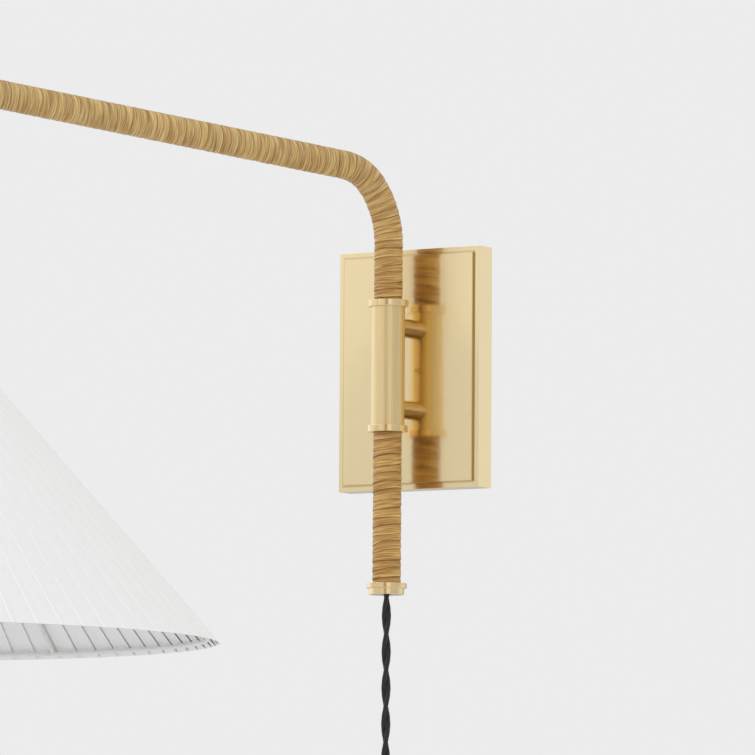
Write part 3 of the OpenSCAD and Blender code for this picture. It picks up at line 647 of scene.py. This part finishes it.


# ---- Posts ----
# Two short brass bars stand on the panel and are saddled over the barrel's back, where they are brazed to it.
# Their brass is painted a little browner than the rest, as painted shade for their place between barrel and
# panel, and their undersides are painted darker still as painted shade.
shaded_post_brass = brass("heated_brass", (0.70, 0.52, 0.27), (0.84, 0.64, 0.34), 0.22, 0.0)
low_z, high_z = ((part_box(node)[0][2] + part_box(node)[1][2]) / 2 for node in ("post_lower", "post_upper"))
apart, underside_shade_edge = high_z - low_z, 0.0016
past = (shaded_post_brass.split(shaded_post_brass.place)["Z"] - low_z + apart) % apart
# Painted shade: the lower half of each post is painted dark brown.
painted_underside_shade = past.fit(apart * 0.6, apart * 0.7) * (1 - past.fit(apart - underside_shade_edge, apart))
shaded_post_brass.colour(painted_underside_shade * 0.75, shaded_post_brass.tone, (0.22, 0.11, 0.035))
softened(shaded_post_brass, "wall_mount", "polished_brass",
         ("post_upper", "upper_post", 0.0003), ("post_lower", "lower_post", 0.0003))


# ---- Barrel and bushings ----
# A brass tube that the arm turns in, satin-finished along its length, closed by two polished collars.
# Inside are two nylon bushings, and a brass grub screw at the back sets how stiffly the arm turns.
drawn = Finish("satin_brass", (0.85, 0.70, 0.40), 0.17, 1.0)
spot = drawn.split(drawn.place)
round_axis = (spot["Y"] - pivot.y).maths("ARCTAN2", spot["X"] - pivot.x)
# Partly satin grain and partly painted reflection: lighter and darker bands run along the barrel's length.
grain_and_painted_bands = drawn.spots(1.0, 3.0, 1.3, drawn.joined(x=round_axis * 9.0, z=spot["Z"] * 6.0))
hairs = drawn.spots(1.0, 3.0, 1.5, drawn.joined(x=round_axis * 90.0, z=spot["Z"] * 30.0))
drawn.colour(grain_and_painted_bands * 0.7 + hairs * 0.3, (0.69, 0.51, 0.25), (0.92, 0.745, 0.42))
drawn.roughness(hairs * 0.08 + grain_and_painted_bands * 0.04 + 0.22)
drawn.bump(grain_and_painted_bands * 0.8 + hairs * 0.2, 0.35, 0.0003)
softened(drawn, "wall_mount", "satin_brass", ("barrel", "arm_barrel", 0.0002))

# Turned brass shows the fine rings that the tool left.
turned_brass = brass("turned_brass", (0.80, 0.60, 0.31), (0.88, 0.69, 0.40), 0.12, 0.0)
tool_rings = turned_brass.grain(30.0, 30.0, 2400.0, 2.0, 1.5)
smear = turned_brass.spots(90.0, 3.0, 1.6)
turned_brass.roughness(tool_rings * 0.05 + smear * 0.04 + 0.07)
turned_brass.bump(tool_rings * 0.5 + smear * 0.5, 0.25, 0.00005)
softened(turned_brass, "wall_mount", "polished_brass",
         ("collar_top", "upper_collar", 0.0003), ("collar_bottom", "lower_collar", 0.0003))

nylon = Finish("nylon", (0.80, 0.78, 0.70), 0.45, subsurface_weight=0.1, subsurface_scale=0.002)
milky = nylon.spots(130.0, 3.0, 1.5)
scrape = nylon.grain(60.0, 60.0, 1800.0, 3.0, 1.6)
nylon.colour(milky, (0.74, 0.71, 0.62), (0.84, 0.82, 0.75))
nylon.roughness(scrape * 0.2 + 0.36)
nylon.bump(scrape, 0.3, 0.00006)
softened(nylon, "wall_mount", "nylon",
         ("bushing_upper", "upper_bushing", 0.0003), ("bushing_lower", "lower_bushing", 0.0003))
softened(drawn, "wall_mount", "satin_brass", ("friction_screw", "friction_grub_screw", 0.0002))


# ---- Arm tube and its rings ----
# Mild steel tube with a dull mill finish, bent cold, hidden under the cane. Two brass rings shrunk on it
# bear on the bushings: the upper one carries the arm, and the lower one keeps it from lifting.
mill = Finish("mill_steel", (0.42, 0.41, 0.40), 0.45, 1.0)
scale_marks = mill.spots(90.0, 5.0, 1.9)
draw_marks = mill.grain(500.0, 500.0, 30.0, 4.0, 1.8)
mill.colour(scale_marks, (0.30, 0.29, 0.28), (0.52, 0.51, 0.50))
mill.roughness(draw_marks * 0.25 + 0.34)
mill.bump(draw_marks * 0.6 + scale_marks * 0.4, 0.25, 0.0001)
softened(mill, "arm", "zinc_steel", ("arm_tube", "bent_tube", 0.0))
softened(turned_brass, "arm", "polished_brass",
         ("thrust_ring", "bearing_ring", 0.0002), ("retaining_ring", "keeper_ring", 0.0002))


# ---- Cane winding ----
# The arm's tube is wound with flat strips of peeled cane, glued and laid edge over edge. Each turn laps the
# one before it, and the strips wander a little, so no two turns show the same width.
tube_r, strip_w, strip_t, strip_lap, winding_pitch = 0.0085, 0.0086, 0.0009, 0.0008, 0.0056
strip_wander, strip_uneven, strip_loose = 0.0013, 0.24, 0.00012
tail_z, lower_top_z, upper_low_z, lamp_end_z = -0.151, -0.0445, 0.0445, 0.084
corner_z, arm_rise = 0.1346, radians(7.4)
lean, lean_r, bend_r, drop_r = radians(35.5), 0.069, 0.033, 0.048


def bent_tube(low_z, moves, step=0.002):
    """A line up from the swing axis; each move is a length, or a radius and the angle to lean."""
    out, height, heading, line = 0.0, low_z, 0.0, [arm_point(0, 0, low_z)]
    for size, turned in moves:
        count = ceil(abs(size * (turned or 1.0)) / step)
        for i in range(1, count + 1):
            if turned:
                now = heading + turned * i / count
                here = (out + size * (cos(heading) - cos(now)),
                        height + size * (sin(now) - sin(heading)))
            else:
                here = (out + size * i / count * sin(heading),
                        height + size * i / count * cos(heading))
            line.append(arm_point(0, -here[0], here[1]))
        (out, height), heading = here, heading + turned
    return line


reach_out = reach.length
turn_out, turn_down = pi / 2 - arm_rise, pi / 2 + arm_rise
bend_out = lean_r * (1 - cos(lean)) + bend_r * (cos(lean) - cos(turn_out))
bend_up = lean_r * sin(lean) + bend_r * (sin(turn_out) - sin(lean))
lean_z = corner_z + bend_out * tan(arm_rise) - bend_up
drop_tangent = drop_r * tan(turn_down / 2)
arm_straight = (reach_out - bend_out) / cos(arm_rise) - drop_tangent
down_z = corner_z + reach_out * tan(arm_rise) - drop_tangent
arm_line = bent_tube(upper_low_z, [(lean_z - upper_low_z, 0.0), (lean_r, lean), (bend_r, turn_out - lean),
                                   (arm_straight, 0.0), (drop_r, turn_down), (down_z - lamp_end_z, 0.0)])
tail_line = bent_tube(tail_z, [(lower_top_z - tail_z, 0.0)], 0.2)


def new_tree(name, **inputs):
    """A geometry tree whose named inputs start at these values."""
    tree = bpy.data.node_groups.new(name, "GeometryNodeTree")
    tree.interface.new_socket("Geometry", in_out="INPUT", socket_type="NodeSocketGeometry")
    for key, value in inputs.items():
        kind = {int: "NodeSocketInt", float: "NodeSocketFloat", tuple: "NodeSocketVector"}[type(value)]
        tree.interface.new_socket(key, in_out="INPUT", socket_type=kind).default_value = value
    tree.interface.new_socket("Geometry", in_out="OUTPUT", socket_type="NodeSocketGeometry")
    bench = Bench(tree)
    return bench, bench.node("NodeGroupInput")


def worked(bench, geometry, kind, sockets=None, **settings):
    """A geometry after one more node."""
    return bench.node(kind, {"Geometry": geometry, **(sockets or {})}, **settings)["Geometry"]


def close_tree(bench, last, finish):
    ready = worked(bench, last, "GeometryNodeRealizeInstances")
    ready = worked(bench, ready, "GeometryNodeSetMaterial", {"Material": finish.material})
    bench.node("NodeGroupOutput", {"Geometry": ready})


def unit_grid(bench, along, across):
    """A flat grid, one by one, and its points' places on it, from minus a half to a half."""
    grid = bench.node("GeometryNodeMeshGrid", {
        "Size X": 1.0, "Size Y": 1.0, "Vertices X": along, "Vertices Y": across})["Mesh"]
    return grid, bench.split(bench.node("GeometryNodeInputPosition")["Position"])


def laid_out(bench, grid, place, uv=None, merge=0.0):
    """The grid with its points moved into place, a map of it kept, and points that meet made one."""
    if uv:
        grid = worked(bench, grid, "GeometryNodeStoreNamedAttribute", {"Name": "UVMap", "Value": uv},
                      data_type="FLOAT2", domain="CORNER")
    grid = worked(bench, grid, "GeometryNodeSetPosition", {"Position": place})
    return worked(bench, grid, "GeometryNodeMergeByDistance", {"Distance": merge}) if merge else grid


def plain_mesh(piece):
    """The mesh that a piece's modifiers make, in the place of its own."""
    bpy.context.view_layer.update()
    mesh = bpy.data.meshes.new_from_object(piece.evaluated_get(bpy.context.evaluated_depsgraph_get()))
    piece.modifiers.clear()
    base, piece.data = piece.data, mesh
    bpy.data.meshes.remove(base)
    mesh.name = piece.name


def grown(name, tree, points=(), **values):
    """The plain mesh that a tree makes from a line through points, or from nothing."""
    base = bpy.data.meshes.new(name)
    base.from_pydata(points, [(i, i + 1) for i in range(len(points) - 1)], [])
    piece = placed(name, base)
    modifier = piece.modifiers.new("make", "NODES")
    modifier.node_group = tree
    for item in tree.interface.items_tree:
        if item.item_type == "SOCKET" and item.in_out == "INPUT" and item.name in values:
            modifier[item.identifier] = values[item.name]
    plain_mesh(piece)
    return piece


winding, given = new_tree(
    "cane_winding", Turns=20, Steps=36, Section=12, Core=tube_r, Width=strip_w, Thickness=strip_t,
    Lap=strip_lap, Wander=strip_wander, Side=tuple(side_way), Seed=0.0)
path = winding.node("GeometryNodeMeshToCurve", {"Mesh": given["Geometry"]})["Curve"]
whole = winding.node("GeometryNodeCurveLength", {"Curve": path})["Length"]
grid, spot = unit_grid(winding, given["Turns"] * given["Steps"] + 1, given["Section"])
along, section = spot["X"] + 0.5, (spot["Y"] + 0.5) * tau
laid = along * given["Turns"]


def drift(rate, shift):
    """A slow random change along the strip, about zero."""
    return winding.node("ShaderNodeTexNoise", {
        "W": laid * rate + given["Seed"] + shift, "Scale": 1.0, "Detail": 1.0},
        noise_dimensions="1D")[0] * 2.0 - 1.0


across, crown = section.cos(), section.sin()
flat_crown = crown.maths("SIGN") * abs(crown) ** 0.6
half_width = given["Width"] * (drift(1.1, 7.0) * strip_uneven + 0.5)
pitch = whole / given["Turns"]
at = (along * (whole + pitch * 1.5) - pitch * 0.75 + across * half_width
      + drift(1.7, 3.0) * given["Wander"] + drift(0.61, 31.0) * given["Wander"])
at = winding.node("ShaderNodeClamp", {"Value": at, "Min": 0.0, "Max": whole})["Result"]
radius = (given["Core"] + given["Thickness"] * (flat_crown * 0.5 + 0.5) + given["Lap"] * (0.5 - across * 0.5)
          + drift(2.3, 17.0) * strip_loose)
sample = winding.node("GeometryNodeSampleCurve", {"Curves": path, "Length": at},
                      mode="LENGTH", use_all_curves=True)
second = sample["Tangent"].vector("CROSS_PRODUCT", given["Side"])
angle = laid * tau
sideways = given["Side"].vector("SCALE", angle.cos() * radius)
away = sideways.vector("ADD", second.vector("SCALE", angle.sin() * radius))
strip = laid_out(winding, grid, sample["Position"].vector("ADD", away),
                 winding.joined(laid, across * 0.5 + 0.5), 0.000002)

# Fibres run along the strip. Painted shadow darkens each strip where it tucks under the next and in a thin
# crease along its lapped edge, and here and there a painted highlight picks out a ridge.
cane = Finish("cane", (0.58, 0.36, 0.12), 0.45, specular_ior_level=0.4)
uv = cane.uv()
fibre = cane.spots(1.0, 5.0, 2.0, cane.joined(uv["X"] * 3.0, uv["Y"] * 15.0))
slow = cane.spots(1.0, 2.0, 2.4, cane.joined(uv["X"] * 0.8, uv["Y"] * 1.3))
blotch = cane.spots(1.0, 3.0, 2.4, cane.joined(uv["X"] * 3.1, uv["Y"] * 2.2 + 9.0))
shown = cane.joined(uv["X"] * 1.7, 4.0)
# Painted highlight: a pale ridge shows here and there near each strip's edge.
ridge_highlight_shows = cane.spots(1.0, 2.0, 2.6, shown).above(0.66, 0.22)
painted_ridge_highlight = uv["Y"].fit(0.05, 0.09) * (1 - uv["Y"].fit(0.12, 0.22)) * ridge_highlight_shows
crease_shade_shows = cane.spots(1.3, 2.0, 2.6, shown).above(0.42, 0.3) * 0.7 + 0.15
painted_crease_shade = (1 - uv["Y"]).above(0.95, 0.025) * crease_shade_shows
painted_tuck_shadow = uv["Y"].fit(0.50, 0.70) * (cane.spots(0.8, 2.0, 2.6, shown) * 0.4 + 0.1)
base = cane.blend(slow.above(0.5, 0.35), (0.44, 0.245, 0.075), (0.66, 0.43, 0.150))
base = cane.blend(blotch.above(0.66, 0.2) * 0.5, base, (0.40, 0.26, 0.13))
base = cane.blend(fibre.above(0.60, 0.25) * 0.62, base, (0.31, 0.15, 0.035))
base = cane.blend((1 - fibre).above(0.58, 0.22) * 0.65, base, (0.86, 0.68, 0.31))
base = cane.blend(painted_tuck_shadow, base, (0.26, 0.13, 0.04))
# The cane is tinted darker and redder towards the bottom; the tint fades out higher up.
low_tint_strength, tint_full_below, tint_gone_above = 0.7, 0.05, 0.17
low_tint = low_tint_strength - cane.split(cane.place)["Z"].fit(tint_full_below, tint_gone_above) * low_tint_strength
base = cane.node("ShaderNodeMix", {"Factor_Float": low_tint, "A_Color": base, "B_Color": (0.90, 0.69, 0.38)},
                 data_type="RGBA", blend_type="MULTIPLY")["Result_Color"]
base = cane.blend(painted_ridge_highlight * 0.65, base, (0.90, 0.74, 0.32))
cane.colour(painted_crease_shade, base, (0.13, 0.05, 0.01))
cane.roughness(fibre * 0.25 + 0.34)
cane.bump(fibre * 0.7 + blotch * 0.3, 0.5, 0.0003)

close_tree(winding, strip, cane)
for name, line, node, seed in (("cane_lower", tail_line, "cane_wrap_lower", 4.0),
                               ("cane_arm", arm_line, "cane_wrap_arm", 40.0)):
    length = sum((b - a).length for a, b in zip(line, line[1:]))
    piece = grown(name, winding.tree, line, Turns=round(length / winding_pitch), Seed=seed)
    piece.data.shade_smooth()
    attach(piece, "arm")
    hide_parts(node)


# ---- End cap, ferrule and inner cord ----
# Two turned brass caps close the tube: each has a spigot inside it, a flange that meets the cane's end and
# a smaller step. The lower one holds a rubber grommet round the cord, the upper one the holder's stem.
softened(turned_brass, "arm", "polished_brass",
         ("end_cap", "lower_cap", 0.00025), ("arm_ferrule", "lamp_ferrule", 0.00025))

rubber = Finish("black_rubber", (0.022, 0.021, 0.021), 0.7, specular_ior_level=0.35)
bloom = rubber.spots(240.0, 4.0, 1.8)
rubber.colour(bloom, (0.015, 0.014, 0.014), (0.034, 0.033, 0.032))
rubber.roughness(bloom * 0.25 + 0.55)
rubber.bump(rubber.spots(1400.0, 2.0, 1.5), 0.4, 0.00008)
softened(rubber, "arm", "black_plastic", ("cord_grommet", "rubber_grommet", 0.0003))
softened(sleeve, "arm", "black_cloth", ("inner_cord", "cord_in_the_tube", 0.0))


# ---- Pleated shade ----
# A cone of off-white cloth in 92 knife pleats, each pressed over the next and glued to a wire ring at the top
# and at the bottom. The folds stand proud and overhang, and the spare cloth lies back underneath them.
pleats, cloth_t, pleat_turn, cloth_slack = 92, 0.00016, radians(-24.73), 0.0004
shade_low, shade_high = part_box("pleated_shade")
shade_foot_r, shade_top_r, foot_under, top_under = 0.2735, 0.039, 0.0024, 0.0016
foot_lap, foot_rise, foot_fold = 0.0062, 0.0019, 0.0006
top_lap, top_rise, top_fold = 0.0012, 0.0007, 0.0002


def pleat_section(pitch, lap, rise, fold, steps=5):
    """One pleat across: from under the last fold, out to its own round fold, and back beneath it."""
    line = [(-lap * 0.55, 0.0), (0.0, fold * 0.6), (pitch * 0.45, rise * 0.62)]
    for i in range(steps):
        a = pi * (0.5 - 1.0 * i / (steps - 1))
        line.append((pitch - fold + fold * cos(a), rise - fold + fold * sin(a)))
    line += [(pitch - lap * 0.6, rise * 0.3), (pitch - lap * 0.95, 0.0)]
    return [(x, 0.0, y) for x, y in line]


sections = pleat_section(tau * shade_foot_r / pleats, foot_lap, foot_rise, foot_fold)
section_points = len(sections)
sections += pleat_section(tau * shade_top_r / pleats, top_lap, top_rise, top_fold)
pleating, given = new_tree(
    "knife_pleats", Pleats=pleats, Points=section_points, Rows=13, Axis=(lamp.x, lamp.y, 0.0),
    Foot_Radius=shade_foot_r - foot_under, Top_Radius=shade_top_r - top_under,
    Foot=shade_low.z, Top=shade_high.z, Turn=pleat_turn, Slack=cloth_slack)
columns = given["Pleats"] * given["Points"]
grid, spot = unit_grid(pleating, columns + 1, given["Rows"])
column = ((spot["X"] + 0.5) * columns + 0.5).floor()
row = ((spot["Y"] + 0.5) * (given["Rows"] - 1) + 0.5).floor()
level = row / (given["Rows"] - 1)
pleat = (column / given["Points"] + 0.0001).floor()
point = column % given["Points"]


def section_at(index):
    """A point of the sections."""
    return pleating.split(pleating.node("GeometryNodeSampleIndex", {
        "Geometry": given["Geometry"], "Index": index,
        "Value": pleating.node("GeometryNodeInputPosition")["Position"]}, data_type="FLOAT_VECTOR")["Value"])


def up_the_cone(foot, top):
    """A value between its foot's and its top's."""
    return foot * (1 - level) + top * level


foot_at, top_at = section_at(point), section_at(point + given["Points"])
cone = up_the_cone(given["Foot_Radius"], given["Top_Radius"])
loose = pleating.node("ShaderNodeTexNoise", {
    "Vector": pleating.joined(pleat % given["Pleats"] * 3.7, level * 1.5), "Scale": 1.0, "Detail": 0.0},
    noise_dimensions="2D")[0] - 0.5
angle = (pleat / given["Pleats"] * tau
         + (up_the_cone(foot_at["X"], top_at["X"]) + loose * given["Slack"] * 2.0) / cone + given["Turn"])
radius = cone + up_the_cone(foot_at["Z"], top_at["Z"]) + loose * given["Slack"]
place = pleating.joined(angle.cos() * radius, angle.sin() * radius, up_the_cone(given["Foot"], given["Top"]))
cloth = laid_out(pleating, grid, place.vector("ADD", given["Axis"]),
                 pleating.joined(column / given["Points"], level), 0.000001)

# Where the cloth lies double behind a fold it lets less of the room through, and the round of each fold is
# painted whiter, partly for that and partly as a painted highlight along the fold.
fabric = Finish("shade_fabric", 0.9, 0.85, specular_ior_level=0.2, sheen_weight=0.15, sheen_roughness=0.6)
threads = fabric.uv()
cross_weave = (threads["X"] * tau * 26).sin() * 0.5 + (threads["Y"] * tau * 420).sin() * 0.5
slub = fabric.grain(260.0, 260.0, 60.0, 3.0, 1.6)
across_pleat = threads["X"] % 1.0
fold_double_and_highlight = across_pleat.fit(0.279, 0.292) * (1 - across_pleat.fit(0.60, 0.70))
single = fabric.blend(slub, (0.875, 0.875, 0.872), (0.905, 0.905, 0.902))
fabric.colour(fold_double_and_highlight, single, (0.975, 0.975, 0.972))
fabric.bump(cross_weave * 0.25 + slub * 0.75, 0.35, 0.0002)
close_tree(pleating, cloth, fabric)
shade = grown("knife_pleated_cloth", pleating.tree, sections)
wall = shade.modifiers.new("cloth", "SOLIDIFY")
wall.thickness, wall.offset = cloth_t, -1.0
plain_mesh(shade)
shade.data.shade_smooth()
shade.data.set_sharp_from_angle(angle=radians(62))
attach(shade, "arm")
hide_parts("pleated_shade")


# ---- Lamp holder ----
# A turned brass holder hangs from the ferrule on a hollow threaded stem. Its domed cap is pressed over the
# shell, the shell steps in at a shoulder and ends in a threaded skirt, and a moulded core inside carries
# the contacts.
softened(zinc, "arm", "zinc_steel", ("holder_stem", "threaded_stem", 0.0002))
softened(turned_brass, "arm", "polished_brass",
         ("holder_cap", "domed_cap", 0.0004), ("holder_shell", "holder_barrel", 0.0004))
softened(moulded, "arm", "black_plastic", ("holder_core", "insulating_core", 0.0004))
softened(plated, "arm", "nickel",
         ("screw_shell", "lamp_screw_shell", 0.0002), ("centre_contact", "contact_tongue", 0.00015))

# The skirt's rolled thread: round ridges that wind down it, for the ring nut to climb.
skirt_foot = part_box("holder_shell")[0].z
skirt_r, thread_pitch, thread_rise, thread_turns = 0.01925, 0.0024, 0.00022, 5
thread_start, thread_sunk, thread_width = 0.0012, 0.00005, 0.8
threading, given = new_tree(
    "rolled_thread", Turns=thread_turns, Steps=48, Radius=skirt_r, Pitch=thread_pitch,
    Rise=thread_rise, Centre=(lamp.x, lamp.y, skirt_foot + thread_start))
grid, spot = unit_grid(threading, given["Turns"] * given["Steps"] + 1, 7)
wound, side_on = (spot["X"] + 0.5) * given["Turns"], spot["Y"]
fade = (wound * (given["Turns"] - wound)).fit(0.0, 2.0)
radius = given["Radius"] + ((side_on * pi).cos() * given["Rise"] * fade - thread_sunk)
angle = wound * tau
climb = (wound + side_on * thread_width) * given["Pitch"]
place = threading.joined(angle.cos() * radius, angle.sin() * radius, climb)
close_tree(threading, laid_out(threading, grid, place.vector("ADD", given["Centre"])), turned_brass)
threads = grown("skirt_thread", threading.tree)
threads.data.shade_smooth()
outward(threads.data, axis=lamp.xy)
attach(threads, "arm")


# ---- Turn switch ----
# A plated shaft goes through the holder's side, with a fluted brass knob pressed on its end. It turns
# without stops.
softened(plated, "switch_key", "nickel", ("switch_shaft", "turn_shaft", 0.0002))
softened(turned_brass, "switch_key", "polished_brass", ("switch_knob", "fluted_knob", 0.0002))


# ---- Ring nut, fitter and shade frame ----
# A knurled brass ring nut clamps the fitter's ring under the holder's shoulder. The fitter's three spokes
# and the frame's two rings and six ribs are steel wire, spot-welded and dipped white.
softened(turned_brass, "arm", "polished_brass", ("ring_nut", "shade_ring_nut", 0.0003))
nut_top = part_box("ring_nut")[1].z
knurls, knurl_r, knurl_h, knurl_w, knurl_depth, knurl_down = 60, 0.0250, 0.0016, 0.0011, 0.0005, 0.0002
knurling, given = new_tree(
    "nut_knurl", Count=knurls, Radius=knurl_r, Height=knurl_h, Tooth=knurl_w,
    Depth=knurl_depth, Centre=(lamp.x, lamp.y, nut_top - knurl_down))
tooth_r = given["Tooth"] * 0.5
tooth = knurling.node("GeometryNodeMeshCone", {
    "Vertices": 4, "Side Segments": 1, "Radius Top": tooth_r, "Radius Bottom": tooth_r,
    "Depth": given["Height"]}, fill_type="NGON")["Mesh"]
tooth = worked(knurling, tooth, "GeometryNodeTransform", {
    "Scale": knurling.joined(given["Depth"] / tooth_r, 1.0, 1.0),
    "Translation": knurling.joined(x=given["Depth"] * -1, z=given["Height"] * -0.5)})
seats = knurling.node("GeometryNodeMeshCircle", {
    "Vertices": given["Count"], "Radius": given["Radius"]})["Mesh"]
spin = knurling.joined(z=knurling.node("GeometryNodeInputIndex")["Index"] / given["Count"] * tau)
teeth = knurling.node("GeometryNodeInstanceOnPoints", {
    "Points": seats, "Instance": tooth, "Rotation": spin})["Instances"]
teeth = worked(knurling, teeth, "GeometryNodeTransform", {"Translation": given["Centre"]})
close_tree(knurling, teeth, turned_brass)
knurl = grown("nut_knurl", knurling.tree)
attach(knurl, "arm")

dipped = Finish("white_wire_finish", (0.80, 0.80, 0.78), 0.35)
sag = dipped.spots(160.0, 3.0, 1.6)
speck = dipped.spots(900.0, 2.0, 1.6).above(0.78, 0.05)
white = dipped.blend(sag, (0.76, 0.76, 0.74), (0.84, 0.84, 0.82))
dipped.colour(speck * 0.35, white, (0.50, 0.47, 0.42))
dipped.roughness(sag * 0.15 + 0.28)
dipped.bump(sag, 0.35, 0.00015)
softened(dipped, "arm", "white_wire",
         ("shade_fitter", "spider_fitter", 0.0002), ("shade_frame", "wire_frame", 0.0), sides_at=50.0)


# ---- Bulb ----
# A round lamp with a frosted glass envelope, cemented into a nickelled base that ends in a contact tip.
# The base turns down into the screw shell until its tip bears on the contact tongue.
softened(plated, "arm", "nickel", ("bulb_base", "bulb_cap", 0.0002))
glass = Finish("frosted_glass", (0.86, 0.86, 0.84), 0.30, coat_weight=0.35, coat_roughness=0.08,
               subsurface_weight=0.03, subsurface_scale=0.01)
etched = glass.spots(1500.0, 2.0, 1.5)
powder = glass.spots(38.0, 3.0, 1.4)
glass.colour(powder, (0.82, 0.82, 0.80), (0.90, 0.90, 0.88))
glass.roughness(etched * 0.12 + powder * 0.06 + 0.22)
glass.bump(etched, 0.15, 0.00004)
softened(glass, "arm", "frosted_glass", ("bulb_glass", "bulb_envelope", 0.0))


# ---- Floor ----
# A plain painted studio floor in one pale tone, wide enough to reach the horizon of every view. It lies
# far below the lamp, so the lamp throws no shadow on it that shows.
floor_z, floor_r, floor_sides = -12.0, 120.0, 96
rim = [tau * i / floor_sides for i in range(floor_sides)]
floor = new_piece("studio_floor", [(floor_r * cos(a), floor_r * sin(a), floor_z) for a in rim],
                  [tuple(range(floor_sides))])
paint = Finish("floor_paint", 0.80, 0.8)
paint.colour(paint.spots(0.6, 3.0, 1.2), 0.79, 0.81)
floor.data.materials.append(paint.material)
